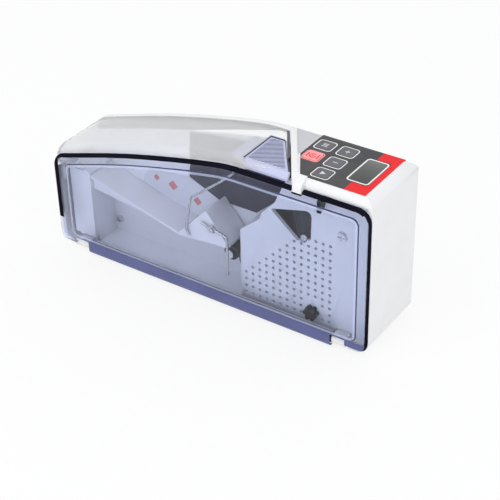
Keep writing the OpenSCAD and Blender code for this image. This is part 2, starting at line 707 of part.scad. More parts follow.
module idler_gear() {
    color("ivory") difference() {
        union() {
            gear(idler_pinion_teeth, idler_x, idler_z, yg, yw + 0.1, 0, idler_angle + 180);
            gear(idler_teeth, idler_x, idler_z, yw, yw + gear_w, 0, motor_angle);
        }
        rod_y(idler_pin_r + run_fit, idler_x, idler_z, yg - 1, yw + gear_w + 1);
        for (a = [45 : 90 : 315])
            rod_y(3.2, idler_x + 10.2 * cos(a), idler_z + 10.2 * sin(a), yw - 1, yw + gear_w + 1);
    }
}

module motor_can() {
    color("silver") difference() {
        union() {
            rod_y(motor_d / 2, motor_x, motor_z, yp - motor_len, yp);
            rod_y(3.2, motor_x, motor_z, yp - 0.5, yp + 1);
        }
        rod_y(motor_d / 2 - 0.8, motor_x, motor_z, yp - motor_len - 1, yp - 1.5);
        rod_y(motor_shaft_r + run_fit, motor_x, motor_z, yp - 3, yp + 2);
    }
}

module motor_cap() {
    color("black") difference() {
        union() {
            rod_y(motor_d / 2 - 0.8, motor_x, motor_z, yp - motor_len + 0.4, yp - motor_len + 2.4);
            rod_y(3.2, motor_x, motor_z, yp - motor_len - 0.8, yp - motor_len + 0.5);
        }
        rod_y(motor_shaft_r + run_fit, motor_x, motor_z, yp - motor_len, yp - motor_len + 4);
    }
}

module motor_shaft() {
    color("silver") {
        rod_y(motor_shaft_r, motor_x, motor_z, yp - motor_len + 0.6, yw + gear_w);
        rod_y(motor_d / 2 - 2.4, motor_x, motor_z, yp - motor_len + 4, yp - 3);
    }
}

module motor_pinion() {
    color("goldenrod") gear(pinion_teeth, motor_x, motor_z, yw - 0.3, yw + gear_w, motor_shaft_r,
        motor_angle + 180 + 180 / pinion_teeth);
}

module pinch_shaft() {
    color("silver") {
        rod_y(pinch_shaft_r, pinch_x, feed_z, tyre_y[0] - 1.2, yc + sheet);
        rod_y(2.4, pinch_x, feed_z, tyre_y[0] - 2, tyre_y[0] - 1.2);
    }
}

module pinch_rollers() {
    for (y = tyre_y)
        color("dimgray") difference() {
            rod_y(pinch_r, pinch_x, feed_z, y, y + tyre_w);
            rod_y(pinch_shaft_r + run_fit, pinch_x, feed_z, y - 1, y + tyre_w + 1);
        }
    color("gray") difference() {
        rod_y(pinch_r - 1.4, pinch_x, feed_z, tyre_y[0] + tyre_w, tyre_y[1]);
        rod_y(pinch_shaft_r + run_fit, pinch_x, feed_z, tyre_y[0], tyre_y[1] + tyre_w);
    }
}

// ---- formed wires ----
module wire_clip() {
    color("dimgray") difference() {
        union() {
            rod_y(2.2, press_pivot[0], press_pivot[1], yc - 7, yc - 1);
            box([press_pivot[0] - 3.4, yc - 2.4, press_pivot[1] - 3.4],
                [press_pivot[0] + 3.4, yc - 1, press_pivot[1] + 2.4]);
        }
        rod_y(wire_d / 2 + run_fit, press_pivot[0], press_pivot[1], yc - 8, yc);
    }
}

module note_press_wire() {
    color("silver") wire([[press_pivot[0], yc - 1.8, press_pivot[1]], [press_pivot[0], press_y, press_pivot[1]],
        [x1 - 86, press_y, 70.4], [x1 - 103.5, press_y, 56.2], [x1 - 107.6, press_y, 36],
        [x1 - 105.4, press_y, 33.2]]);
}

module wire_pivot_screw() {
    color("silver") screw_y(stack_pivot[0], stack_pivot[1], yt - 2.8, 1.9, 0.9, 0.9, 7);
}

module stacker_wire() {
    y = yt - 1;
    eye = 0.9 + run_fit + wire_d / 2;
    color("silver") {
        translate([stack_pivot[0], y, stack_pivot[1]]) rotate([90, 0, 0]) rotate_extrude($fn = 48)
            translate([eye, 0]) circle(d = wire_d, $fn = 24);
        wire([[stack_pivot[0] - eye, y, stack_pivot[1]], [x1 - 98, y, 43.6]]);
        wire([[stack_pivot[0] + eye, y, stack_pivot[1]], [x1 - 83, y, 39.6], [x1 - 82.4, y, 37.4],
            [x1 - 82.4, y, 17]]);
    }
}

// ---- key panel ----
module key_panel() {
    color("dimgray") difference() {
        xy(panel_z, panel_z + panel_t) polygon([[panel_x[0], panel_y[1]], [panel_x[0], panel_y[0] + 16.8],
            [panel_x[1], panel_y[0]], [panel_x[2], panel_y[0]], [panel_x[2], panel_y[1]]]);
        for (c = key_col, r = key_row) if (c != key_col[0] || r != key_row[0])
            xy(panel_z - 1, body_h) round_rect(c - key_slack, r - key_slack - key_l / 2, key_w + 2 * key_slack,
                key_l + 2 * key_slack, key_r + key_slack);
        xy(panel_z - 1, body_h) round_rect(window_x, window_y, window_w, window_l, 1.2);
    }
}

module display_lens() {
    color("darkslategray") xy(in_z + 0.4, panel_z + panel_t)
        round_rect(window_x, window_y, window_w, window_l, 1.2);
}

module display_module() {
    color("black") xy(board_z + board_t, in_z + 0.4) round_rect(window_x + 0.8, window_y + 0.8, window_w - 1.6,
        window_l - 1.6, 0.4);
}

module main_board() {
    color("darkgreen") difference() {
        box([board_x[0], board_y[0], board_z], [board_x[1], board_y[1], board_z + board_t]);
        for (p = posts) rod_z(1, p[0], p[1], board_z - 1, board_z + 3);
        box([board_x[0] - 1, board_y[0] - 1, board_z - 1],
            [board_x[0] + board_cut, board_y[0] + board_cut, board_z + 3]);
    }
}

module board_screws() {
    for (p = posts) color("silver") {
        rod_z(0.9, p[0], p[1], board_z, board_z + 5.6);
        rod_z(1.9, p[0], p[1], board_z - 1.2, board_z);
    }
}

// Draws its children at each key's left side and middle
module at_keys(which) {
    for (k = which) translate([key_col[k[0]], key_row[k[1]], 0]) children();
}

all_keys = [[0, 1], [0, 2], [1, 0], [1, 1], [1, 2]];
switch_top = in_z - 1 - key_travel - 0.15;

module tact_switches() {
    at_keys(all_keys) color("dimgray") {
        box([key_w / 2 - 3, -3, board_z + board_t], [key_w / 2 + 3, 3, board_z + board_t + 2.4]);
        rod_z(1.7, key_w / 2, 0, board_z + board_t + 2.3, switch_top);
    }
}

module buzzer() {
    color("black") difference() {
        rod_z(4.6, x1 - 36, y0 + 27, board_z - 5, board_z);
        rod_z(1, x1 - 36, y0 + 27, board_z - 6, board_z - 4);
    }
}

module key_cap(which) {
    at_keys([which]) {
        xy(in_z - 0.4, panel_z + panel_t + 0.35) round_rect(0, -key_l / 2, key_w, key_l, key_r);
        xy(in_z - 1, in_z - 0.3) round_rect(-0.6, -key_l / 2 - 0.6, key_w + 1.2, key_l + 1.2, key_r);
    }
}

module key_start() { color("gray") key_cap([1, 0]); }
module key_restart() { color("lightpink") key_cap([0, 1]); }
module key_mode() { color("gray") key_cap([0, 2]); }
module key_plus() { color("gray") key_cap([1, 2]); }
module key_minus() { color("gray") key_cap([1, 1]); }

// ---- supply ----
module dc_jack() {
    color("black") difference() {
        union() {
            box([jack_x - 4.8, in_y - 11, jack_z - 4.8], [jack_x + 4.8, in_y, jack_z + 4.8]);
            rod_y(4.5, jack_x, jack_z, in_y - 0.5, y1);
        }
        rod_y(jack_d / 2, jack_x, jack_z, in_y - 8, y1 + 1);
    }
    color("silver") rod_y(0.95, jack_x, jack_z, in_y - 8.1, y1 - 1);
}

module power_switch() {
    color("dimgray") difference() {
        box([switch_x - 7, in_y - 6.5, switch_z - 4], [switch_x + 7, in_y, switch_z + 4]);
        box([switch_x - slot_w / 2, in_y - 3.4, switch_z - slot_h / 2],
            [switch_x + slot_w / 2, in_y + 1, switch_z + slot_h / 2]);
    }
}

module switch_slider() {
    color("black") {
        box([switch_x - slot_w / 2 + 0.3, in_y - 3, switch_z - slot_h / 2 + 0.3],
            [switch_x + slot_w / 2 - 0.3 - slide_run, in_y + 0.6, switch_z + slot_h / 2 - 0.3]);
        for (x = [0.3, 1.7, 3.1])
            box([switch_x - slot_w / 2 + x, in_y + 0.5, switch_z - slot_h / 2 + 0.3],
                [switch_x - slot_w / 2 + x + 0.9, y1 - 0.3, switch_z + slot_h / 2 - 0.3]);
    }
}

// ---- battery bay ----
module battery_tray() {
    color("gray") difference() {
        union() {
            box([bay_x, bay_y - bay_wall, bay_z],
                [bay_x + bay_w + 2 * bay_wall, in_y - 0.3, bay_z + bay_h + 2 * bay_wall]);
            rod_y(3.2, x0 + 23, 11.6, yc + sheet, bay_y - bay_wall + 0.1);
            box([bay_x + 6, bay_y - bay_wall, floor_z], [bay_x + 8, in_y - 8, bay_z + 0.1]);
            box([bay_x + bay_w - 8, bay_y - bay_wall, floor_z], [bay_x + bay_w - 6, in_y - 8, bay_z + 0.1]);
        }
        box([bay_x + bay_wall, bay_y, bay_z + bay_wall],
            [bay_x + bay_w + bay_wall, y1 + 1, bay_z + bay_h + bay_wall]);
        rod_y(1.2, x0 + 23, 11.6, yc, bay_y - bay_wall + 0.05);
    }
}

module battery_cells() {
    for (i = [0, 1], j = [0, 1])
        color(i == j ? "darkgoldenrod" : "black") {
            x = cell_x + i * (cell_len + 0.1) + j * cell_shift;
            z = bay_z + bay_wall + 0.15 + cell_d / 2 + j * (cell_d + 0.6);
            rod_x(cell_d / 2, bay_y + 0.1 + cell_d / 2, z, x, x + cell_len - 1);
            rod_x(2.7, bay_y + 0.1 + cell_d / 2, z, x + cell_len - 1.1, x + cell_len);
        }
}

module battery_springs() {
    for (j = [0, 1]) {
        x = j == 0 ? cell_x + 2 * cell_len + 0.1 : cell_x - 0.1;
        z = bay_z + bay_wall + 0.15 + cell_d / 2 + j * (cell_d + 0.6);
        color("silver") for (k = [0 : 2])
            translate([x + 0.5 + k * 1.1, bay_y + 0.1 + cell_d / 2, z]) rotate([0, 90, 0])
                rotate_extrude($fn = 32) translate([3.6, 0]) circle(r = 0.42, $fn = 16);
    }
}

module battery_cover() {
    xs = cover_x + [gap, -gap];
    color("white") difference() {
        union() {
            yz(xs[0], xs[1]) union() {
                translate([cover_pin_y, cover_z[0]]) circle(r = cover_t / 2, $fn = 32);
                translate([cover_pin_y - cover_t / 2, cover_z[0]]) square([cover_t, cover_z[1] - cover_z[0]]);
            }
            rod_x(cover_pin_r, cover_pin_y, cover_z[0], xs[0] - 2, xs[1] + 2);
        }
        for (k = [0 : 5]) box([bay_x + bay_w / 2 - 8, y1 - 0.5, cover_z[1] - 9 + k * 1.2],
            [bay_x + bay_w / 2 + 8, y1 + 1, cover_z[1] - 8.4 + k * 1.2]);
    }
}

// ---- feet and screws ----
module rubber_feet() {
    for (x = [-1, 1], y = [sweep_y + 7, y1 - 12])
        color("dimgray") rod_z(4, x * (x1 - 17), y, 0, base_z + 0.8);
}

module case_screws() {
    for (p = pillars) color("silver") difference() {
        union() {
            rod_y(2.5, p[0], p[1], y1 - 1.2, y1 - 0.1);
            rod_y(1.1, p[0], p[1], in_y - 7.5, y1 - 1.1);
        }
        for (a = [0, 90]) translate([p[0], y1, p[1]]) rotate([0, a, 0]) cube([3.2, 1.2, 0.7], center = true);
    }
}

// ---- front door ----
module front_door() {
    round_r = 2.2;
    face_y = y0 + door_panel;
    outer = [for (a = [0 : 22.5 : 90]) [round_r * (1 - sin(a)), face_y + round_r * (1 - cos(a))]];
    color([0.6, 0.68, 0.88, 0.5]) difference() {
        union() {
            loft([for (k = concat(outer, [[0, yr], [door_wall, yr], [door_wall, face_y + door_wall + 0.8],
                [door_wall + 0.8, face_y + door_wall]]))
                [for (p = rounded(inset(rim_corners, k[0]))) [p[0], k[1], p[1]]]]);
            xz(y0, face_y + 0.3) polygon(rounded(panel_corners));
            rod_x(barrel_r, hinge_y, hinge_z, x0 + ear_in + notch_w, x1 - ear_in - notch_w);
        }
        for (x = [x0 + ear_in, x1 - ear_in - notch_w])
            box([x, y0 - 1, 0], [x + notch_w, yr + 1, hinge_z + 3.4]);
        for (x = [[x0 - 1, x0 + ear_in + 1], [x1 - ear_in - 1, x1 + 1]])
            box([x[0], y0 - 1, 0], [x[1], yr + 1, corner_foot_z]);
        for (x = [x0 + ear_in + notch_w, x1 - ear_in - notch_w])
            rod_x(pin_r + run_fit, hinge_y, hinge_z, x - 7, x + 7);
        box([hook_x[0] - gap, y0 - 1, hook_z - gap], [hook_x[1] + gap, yr + 1, big]);
    }
}

module door_latch() {
    color("black") yz(x1 - 28.4, x1 - 26.1) polygon([[y0 + door_panel + door_wall, 74.8],
        [yr + 2.2, 76.2], [yr + 3.4, 78.6], [yr + 3.4, 80.4], [yr + 2, 80],
        [y0 + door_panel + door_wall, 81.4]]);
}

module door_pins() {
    color("silver") for (x = [[x0 + ear_in + 1.4, x0 + ear_in + notch_w + 6],
        [x1 - ear_in - notch_w - 6, x1 - ear_in - 1.4]])
        rod_x(pin_r, hinge_y, hinge_z, x[0], x[1]);
}

// ---- top lid ----
grip = [[x1 - 71.4, ys + 2.6], [x1 - 46.6, ys + 2.6], [x1 - 63.4, y0 + 30.2], [x1 - 71.4, y0 + 30.2]];

// Closed arch from the left end to the catch rib, a depth d below the lid's surface
module arch_solid(d, low) {
    corner = corner_line(d);
    loft([for (i = [0 : 2 : 8]) lid_ring(corner[i][0], d, low),
        for (p = arch_line) if (p[0] > corner[8][0] + 1 && p[0] < x1 - 75) lid_ring(p[0], d, low),
        lid_ring(x1 - 60, d, low, true)]);
}

module top_lid() {
    color([0.86, 0.88, 0.93, 0.6]) difference() {
        union() {
            difference() {
                arch_solid(0, 0);
                arch_solid(lid_wall, 1);
            }
            xz(lid_ear_y[0] + lid_ear_w + gap, lid_ear_y[1] - gap) union() {
                translate([lid_pin_x, lid_pin_z]) circle(r = knuckle_r, $fn = 32);
                translate([x0, lid_pin_z]) square([lid_wall, 8]);
            }
            xy(grip_z, top_z - lid_wall + 0.2) polygon([for (p = grip) p + [p[0] > x1 - 60 ? 0.6 : -0.8, 0.8]]);
        }
        xy(top_z - 1.6, body_h) polygon(grip);
        for (y = lid_ear_y) box([x0 - 1, y - gap, 0], [x0 + 6, y + lid_ear_w + gap, lid_pin_z + 3.5]);
        box([x0 - 1, ys - 1, 0], [x0 + 5, lid_ear_y[0], lid_pin_z + 3.5]);
        rod_y(pin_r + run_fit, lid_pin_x, lid_pin_z, ys, y1);
    }
    pitch = (grip[2][1] - grip[1][1] - 1) / grip_ribs;
    color([0.7, 0.72, 0.84]) for (i = [0 : grip_ribs - 1]) {
        y = grip[0][1] + 0.8 + i * pitch;
        box([grip[0][0], y, top_z - 1.7],
            [grip[1][0] - (y + pitch - grip[1][1]) * (grip[1][0] - grip[2][0]) / (grip[2][1] - grip[1][1]),
            y + pitch * 0.45, top_z - 0.5]);
    }
}

module lid_pin() {
    color("silver") rod_y(pin_r, lid_pin_x, lid_pin_z, lid_ear_y[0] + 0.6, lid_ear_y[1] + lid_ear_w - 0.6);
}

rear_shell();
tray_wall();
end_block();
hopper_plate();
wedge_guide();
throat_panel();
tray_label();
tray_screw();
deck_cover();
deck_screw();
sensor_arm();
sensor_screw();
thumb_screw();
drive_plate();
feed_bushes();
feed_shaft();
feed_hub();
feed_tyres();
feed_gear();
idler_pin();
idler_gear();
motor_can();
motor_cap();
motor_shaft();
motor_pinion();
pinch_shaft();
pinch_rollers();
wire_clip();
note_press_wire();
wire_pivot_screw();
stacker_wire();
key_panel();
display_lens();
display_module();
main_board();
board_screws();
tact_switches();
buzzer();
key_start();
key_restart();
key_mode();
key_plus();
key_minus();
dc_jack();
power_switch();
switch_slider();
battery_tray();
battery_cells();
battery_springs();
battery_cover();
rubber_feet();
case_screws();
front_door();
door_latch();
door_pins();
top_lid();
lid_pin();
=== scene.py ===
import math

import bpy
from mathutils import Matrix, Vector


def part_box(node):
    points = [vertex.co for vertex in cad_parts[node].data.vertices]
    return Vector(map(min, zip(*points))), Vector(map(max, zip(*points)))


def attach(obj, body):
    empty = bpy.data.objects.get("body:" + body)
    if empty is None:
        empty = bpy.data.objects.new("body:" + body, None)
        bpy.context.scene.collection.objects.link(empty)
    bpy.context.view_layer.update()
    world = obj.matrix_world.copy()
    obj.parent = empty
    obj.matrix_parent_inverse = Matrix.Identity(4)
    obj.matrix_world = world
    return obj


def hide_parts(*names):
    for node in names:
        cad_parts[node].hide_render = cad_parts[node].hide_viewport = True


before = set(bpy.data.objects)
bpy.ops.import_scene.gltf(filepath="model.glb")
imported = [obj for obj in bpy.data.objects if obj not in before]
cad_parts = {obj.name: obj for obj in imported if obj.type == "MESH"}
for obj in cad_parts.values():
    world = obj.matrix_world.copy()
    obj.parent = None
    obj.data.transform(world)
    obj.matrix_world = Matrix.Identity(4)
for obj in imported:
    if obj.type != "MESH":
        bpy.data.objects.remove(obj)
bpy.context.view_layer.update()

MM = 0.001
RIGHT = math.pi / 2

# ---- camera


def aim_camera(place, azimuth, elevation, roll, lens):
    """Camera at a place in millimetres, turned by an azimuth and elevation in degrees."""
    bpy.ops.object.camera_add(location=Vector(place) * MM)
    camera = bpy.context.object
    camera.name = "bench_camera"
    camera.rotation_euler = (
        Matrix.Rotation(math.radians(azimuth), 4, "Z")
        @ Matrix.Rotation(RIGHT - math.radians(elevation), 4, "X")
        @ Matrix.Rotation(math.radians(roll), 4, "Z")
    ).to_euler()
    camera.data.lens = lens
    camera.data.sensor_width = 36
    camera.data.clip_start, camera.data.clip_end = 0.01, 20
    bpy.context.scene.camera = camera


aim_camera((340.35, -473.70, 412.90), 34.65, 34.22, -1.34, 97.84)

# ---- modelling


def clear():
    if bpy.context.object and bpy.context.object.mode != "OBJECT":
        bpy.ops.object.mode_set(mode="OBJECT")
    bpy.ops.object.select_all(action="DESELECT")


def settle(name):
    """Names the new primitive and puts its place into its mesh."""
    piece = bpy.context.object
    piece.name = piece.data.name = name
    bpy.ops.object.transform_apply(location=True, rotation=True, scale=True)
    return piece


def work_on(piece):
    clear()
    bpy.context.view_layer.objects.active = piece
    piece.select_set(True)


def pick(piece, kind, test):
    """Goes to edit mode and selects what has its middle, in millimetres, where the test says."""
    work_on(piece)
    bpy.ops.object.mode_set(mode="EDIT")
    bpy.ops.mesh.select_mode(type=kind)
    bpy.ops.mesh.select_all(action="DESELECT")
    bpy.ops.object.mode_set(mode="OBJECT")
    mesh = piece.data
    if kind == "VERT":
        for v in mesh.vertices:
            v.select = bool(test(v.co / MM))
    elif kind == "EDGE":
        for e in mesh.edges:
            a, b = (mesh.vertices[i].co / MM for i in e.vertices)
            e.select = bool(test((a + b) / 2, (b - a).normalized()))
    else:
        for f in mesh.polygons:
            f.select = bool(test(f.center / MM, f.normal))
    bpy.ops.object.mode_set(mode="EDIT")


def take_all():
    bpy.ops.mesh.select_all(action="SELECT")


def draw_out(by):
    """Extrudes what is selected by some millimetres."""
    bpy.ops.mesh.extrude_region_move(TRANSFORM_OT_translate={"value": Vector(by) * MM})


def inset(millimetres):
    bpy.ops.mesh.inset(thickness=millimetres * MM)


def slice_at(point, across, **sides):
    """Cuts everything along a plane through a point in millimetres."""
    take_all()
    bpy.ops.mesh.bisect(plane_co=Vector(point) * MM, plane_no=across, **sides)


def one_point(name, place_mm):
    """Mesh of a single vertex, left in edit mode to be drawn out."""
    clear()
    bpy.ops.mesh.primitive_plane_add(size=MM, location=Vector(place_mm) * MM)
    piece = settle(name)
    bpy.ops.object.mode_set(mode="EDIT")
    bpy.ops.mesh.select_mode(type="VERT")
    take_all()
    bpy.ops.mesh.merge(type="CENTER")
    return piece


def spot(along, a, b, depth):
    """Point whose coordinate along an axis is depth and whose others, in order, are a and b."""
    return Vector({"x": (depth, a, b), "y": (a, depth, b), "z": (a, b, depth)}[along])


def corner_cut(before, at, after, r):
    """How far from a corner its round of radius r starts."""
    u = (Vector(before[:2]) - Vector(at[:2])).normalized()
    v = (Vector(after[:2]) - Vector(at[:2])).normalized()
    half = u.angle(v) / 2
    return r / math.tan(half), max(2, round((math.pi - 2 * half) / math.radians(13)))


def sheet_of(name, corners, along, depth):
    """Flat face through corners [a, b, round], drawn corner to corner."""
    piece = one_point(name, spot(along, *corners[0][:2], depth))
    for p, q in zip(corners, corners[1:]):
        step = spot(along, *q[:2], depth) - spot(along, *p[:2], depth)
        draw_out(step)
    take_all()
    bpy.ops.mesh.edge_face_add()
    for i, c in enumerate(corners):
        if c[2] > 0:
            here = spot(along, *c[:2], depth)
            start, steps = corner_cut(corners[i - 1], c, corners[(i + 1) % len(corners)], c[2])
            pick(piece, "VERT", lambda p: (p - here).length < 0.01)
            bpy.ops.mesh.bevel(offset=start * MM, segments=steps, affect="VERTICES", clamp_overlap=False)
    take_all()
    bpy.ops.mesh.remove_doubles(threshold=0.001 * MM)
    return piece


def prism(name, corners, along, start, end):
    """Outline of corners [a, b, round] drawn out along an axis from start to end."""
    piece = sheet_of(name, corners, along, start)
    take_all()
    draw_out(spot(along, 0, 0, end - start))
    take_all()
    bpy.ops.mesh.normals_make_consistent(inside=False)
    clear()
    return piece


def block(name, low, high):
    low, high = Vector(low), Vector(high)
    clear()
    bpy.ops.mesh.primitive_cube_add(size=1, location=(low + high) / 2 * MM, scale=(high - low) * MM)
    return settle(name)


def rod(name, along, a, b, start, end, r, sides=40, tip=None):
    """Cylinder of radius r along an axis, or a cone where tip gives its far radius."""
    turn = {"x": (0, RIGHT, 0), "y": (-RIGHT, 0, 0), "z": (0, 0, 0)}[along]
    clear()
    bpy.ops.mesh.primitive_cone_add(
        vertices=sides, radius1=r * MM, radius2=(r if tip is None else tip) * MM,
        depth=abs(end - start) * MM, location=spot(along, a, b, (start + end) / 2) * MM, rotation=turn)
    return settle(name)


def use(piece, kind, **settings):
    """Adds a modifier with these settings and applies it."""
    work_on(piece)
    made = piece.modifiers.new(kind, kind)
    for key, value in settings.items():
        setattr(made, key, value)
    bpy.ops.object.modifier_apply(modifier=made.name)
    return piece


def combine(piece, how, *others):
    for other in others:
        use(piece, "BOOLEAN", operation=how, object=other, solver="EXACT")
        bpy.data.objects.remove(other)
    return piece


def cut(piece, *others):
    return combine(piece, "DIFFERENCE", *others)


def join(piece, *others):
    return combine(piece, "UNION", *others)


def common(piece, *others):
    return combine(piece, "INTERSECT", *others)


def together(name, pieces):
    """Several loose pieces as one object."""
    clear()
    for p in pieces:
        p.select_set(True)
    bpy.context.view_layer.objects.active = pieces[0]
    if len(pieces) > 1:
        bpy.ops.object.join()
    pieces[0].name = name
    return pieces[0]


def again(piece, name, by=(0, 0, 0), turn=0, about="y", centre=(0, 0, 0)):
    """Copy with its own mesh, turned in degrees about an axis through centre, then moved in millimetres."""
    other = piece.copy()
    other.data = piece.data.copy()
    other.name = name
    bpy.context.collection.objects.link(other)
    pivot = Matrix.Translation(Vector(centre) * MM)
    other.data.transform(Matrix.Translation(Vector(by) * MM) @ pivot
                         @ Matrix.Rotation(math.radians(turn), 4, about.upper()) @ pivot.inverted())
    return other


def soften(piece, width=0.2, steps=2, angle=32):
    """Small rounds on the sharp edges, then smooth shading."""
    use(piece, "BEVEL", width=width * MM, segments=steps, limit_method="ANGLE",
        angle_limit=math.radians(angle), use_clamp_overlap=True, miter_outer="MITER_ARC")
    return smooth(piece)


def smooth(piece, angle=35):
    work_on(piece)
    bpy.ops.object.shade_smooth_by_angle(angle=math.radians(angle))
    return piece


def round_off(piece, test, r, steps):
    """Rounds the edges that pass the test to a radius."""
    pick(piece, "EDGE", test)
    bpy.ops.mesh.bevel(offset=r * MM, segments=steps, affect="EDGES", clamp_overlap=True)
    clear()
    return piece


def place(piece, body, slot, finish, *nodes):
    """Gives a piece its finish, its body and the nodes that it stands for; the slot is not used."""
    work_on(piece)
    if finish is not None:
        piece.data.materials.clear()
        piece.data.materials.append(finish)
    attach(piece, body)
    if nodes:
        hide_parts(*nodes)
    return piece


def span(node):
    """Lowest and highest corner of a node, in millimetres."""
    low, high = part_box(node)
    return low / MM, high / MM


def centre_of(node):
    low, high = span(node)
    return (low + high) / 2


# ---- materials


class Finish:
    """A node material around one Principled shader."""

    def __init__(self, name, colour, rough=0.4, metal=0.0, **sockets):
        self.mat = bpy.data.materials.new(name)
        self.mat.use_nodes = True
        self.tree = self.mat.node_tree
        self.shader = self.tree.nodes["Principled BSDF"]
        self.colour, self.rough = colour, rough
        self.set("Metallic", metal)
        self.set("Base Color", (*colour, 1))
        self.set("Roughness", rough)
        for key, value in sockets.items():
            self.set(key.replace("_", " "), value)
        self.coords = self.tree.nodes.new("ShaderNodeTexCoord")
        self.bumps = None

    def set(self, socket, value):
        self.shader.inputs[socket].default_value = value

    def node(self, kind, **settings):
        made = self.tree.nodes.new(kind)
        for key, value in settings.items():
            setattr(made, key, value)
        return made

    def link(self, a, b):
        self.tree.links.new(a, b)

    def noise(self, size, stretch=(1, 1, 1), detail=3, rough=0.5):
        """Noise whose features are about size millimetres across, stretched along the axes."""
        turn = self.node("ShaderNodeMapping")
        turn.inputs["Scale"].default_value = stretch
        made = self.node("ShaderNodeTexNoise")
        made.inputs["Scale"].default_value = 1 / (size * MM)
        made.inputs["Detail"].default_value = detail
        made.inputs["Roughness"].default_value = rough
        self.link(self.coords.outputs["Object"], turn.inputs["Vector"])
        self.link(turn.outputs["Vector"], made.inputs["Vector"])
        return made.outputs["Fac"]

    def spread(self, value, low, high, start=0.3, end=0.7):
        made = self.node("ShaderNodeMapRange")
        for key, v in (("From Min", start), ("From Max", end), ("To Min", low), ("To Max", high)):
            made.inputs[key].default_value = v
        self.link(value, made.inputs["Value"])
        return made.outputs["Result"]

    def mix(self, factor, a, b):
        made = self.node("ShaderNodeMix", data_type="RGBA")
        self.link(factor, made.inputs[0])
        for socket, v in ((made.inputs[6], a), (made.inputs[7], b)):
            if isinstance(v, tuple):
                socket.default_value = (*v, 1)
            else:
                self.link(v, socket)
        return made.outputs[2]

    def mottle(self, amount, size, towards=None, stretch=(1, 1, 1)):
        """Lets the colour drift between two shades, in patches of about size millimetres."""
        light = tuple(min(1, c * (1 + amount)) for c in self.colour)
        dark = towards or tuple(c * (1 - amount) for c in self.colour)
        made = self.mix(self.spread(self.noise(size, stretch), 0, 1), light, dark)
        self.link(made, self.shader.inputs["Base Color"])
        return made

    def uneven(self, amount, size, stretch=(1, 1, 1)):
        """Lets the roughness drift, as handling and moulding leave it."""
        made = self.spread(self.noise(size, stretch), max(self.rough - amount, 0.02), self.rough + amount)
        self.link(made, self.shader.inputs["Roughness"])

    def bump(self, height, size, stretch=(1, 1, 1), source=None, detail=2):
        """Surface texture height micrometres deep with grains of about size millimetres."""
        made = self.node("ShaderNodeBump")
        made.inputs["Distance"].default_value = height * 1e-6
        made.inputs["Strength"].default_value = 1
        self.link(source or self.noise(size, stretch, detail), made.inputs["Height"])
        if self.bumps:
            self.link(self.bumps, made.inputs["Normal"])
        self.bumps = made.outputs["Normal"]
        self.link(self.bumps, self.shader.inputs["Normal"])

    def axis(self, letter):
        """Coordinate along one axis, in metres."""
        made = self.node("ShaderNodeSeparateXYZ")
        self.link(self.coords.outputs["Object"], made.inputs["Vector"])
        return made.outputs[letter]


def moulded(name, colour, rough=0.42, grain=12, size=0.35, drift=0.03, shine=0.5, **sockets):
    """Moulded plastic: spark-eroded grain, faint flow marks and worn gloss."""
    f = Finish(name, colour, rough, Specular_IOR_Level=shine, **sockets)
    f.mottle(drift, 14)
    f.uneven(0.07, 9)
    f.bump(grain, size)
    f.bump(grain * 1.5, 6)
    return f.mat


def metal(name, colour, rough=0.28, stretch=(1, 1, 1), lines=8, drift=0.12, size=0.25):
    """Drawn or turned metal, its fine lines stretched along an axis."""
    f = Finish(name, colour, rough, 1.0)
    f.mottle(drift, 2.5, stretch=stretch)
    f.uneven(0.1, 1.5, stretch)
    f.bump(lines, size, stretch)
    return f.mat


def clear_plastic(name, colour, rough, ior, coat, haze, clarity=1.0):
    """Transparent moulding: tinted, milky where clarity is under 1, with fine scuffs."""
    f = Finish(name, colour, rough, IOR=ior, Transmission_Weight=clarity, Coat_Weight=coat,
               Coat_Roughness=0.04, Coat_IOR=1.5)
    f.mottle(haze, 30)
    f.uneven(rough * 0.6, 12)
    f.bump(3, 5)
    return f.mat


def rubber(name, colour, rough=0.7):
    f = Finish(name, colour, rough)
    f.mottle(0.2, 1.6)
    f.uneven(0.12, 1.1)
    f.bump(35, 0.4, detail=4)
    return f.mat


WHITE = moulded("white_housing", (0.83, 0.83, 0.838), 0.36, 8, 0.3, 0.015)
# the tray's white plastic with painted light: lighter than the housing's white to lift the shade inside the
# tray
TRAY_PAINTED_LIGHT = moulded("tray_plastic_painted_light", (0.90, 0.905, 0.935), 0.45, 10, 0.3, 0.02)
DECK = moulded("deck_plastic", (0.82, 0.84, 0.89), 0.42, 10, 0.3, 0.02)
SMOKE = clear_plastic("smoked_plastic", (0.81, 0.845, 0.965), 0.03, 1.12, 0.4, 0.02)
STRIPE = clear_plastic("smoked_step", (0.66, 0.72, 0.95), 0.08, 1.12, 0.4, 0.02, 0.6)
LID = clear_plastic("lid_plastic", (0.965, 0.97, 0.985), 0.05, 1.14, 0.5, 0.02, 0.67)
# grey paint for the shade of the lid's rounded back and of the gap behind it
LID_BACK_SHADE = moulded("lid_back_band_painted_shade", (0.84, 0.84, 0.85), 0.4, 6, 0.4, 0.02)
# dark paint for the shadow in the gap between the lid and the catch rib
LID_GAP_SHADOW = moulded("lid_rib_gap_painted_shadow", (0.10, 0.10, 0.13), 0.45, 4, 0.5, 0.1, shine=0.2)
# darker grey paint for the shade line along the lid's back
LID_LINE_SHADE = moulded("lid_back_line_painted_shade", (0.46, 0.46, 0.49), 0.4, 6, 0.4, 0.04)
# near-black paint for the shade that the clear door's thick edges show
EDGE_SHADE = moulded("smoked_edge_painted_shade", (0.009, 0.009, 0.016), 0.55, 3, 0.6, 0.2, shine=0.0)
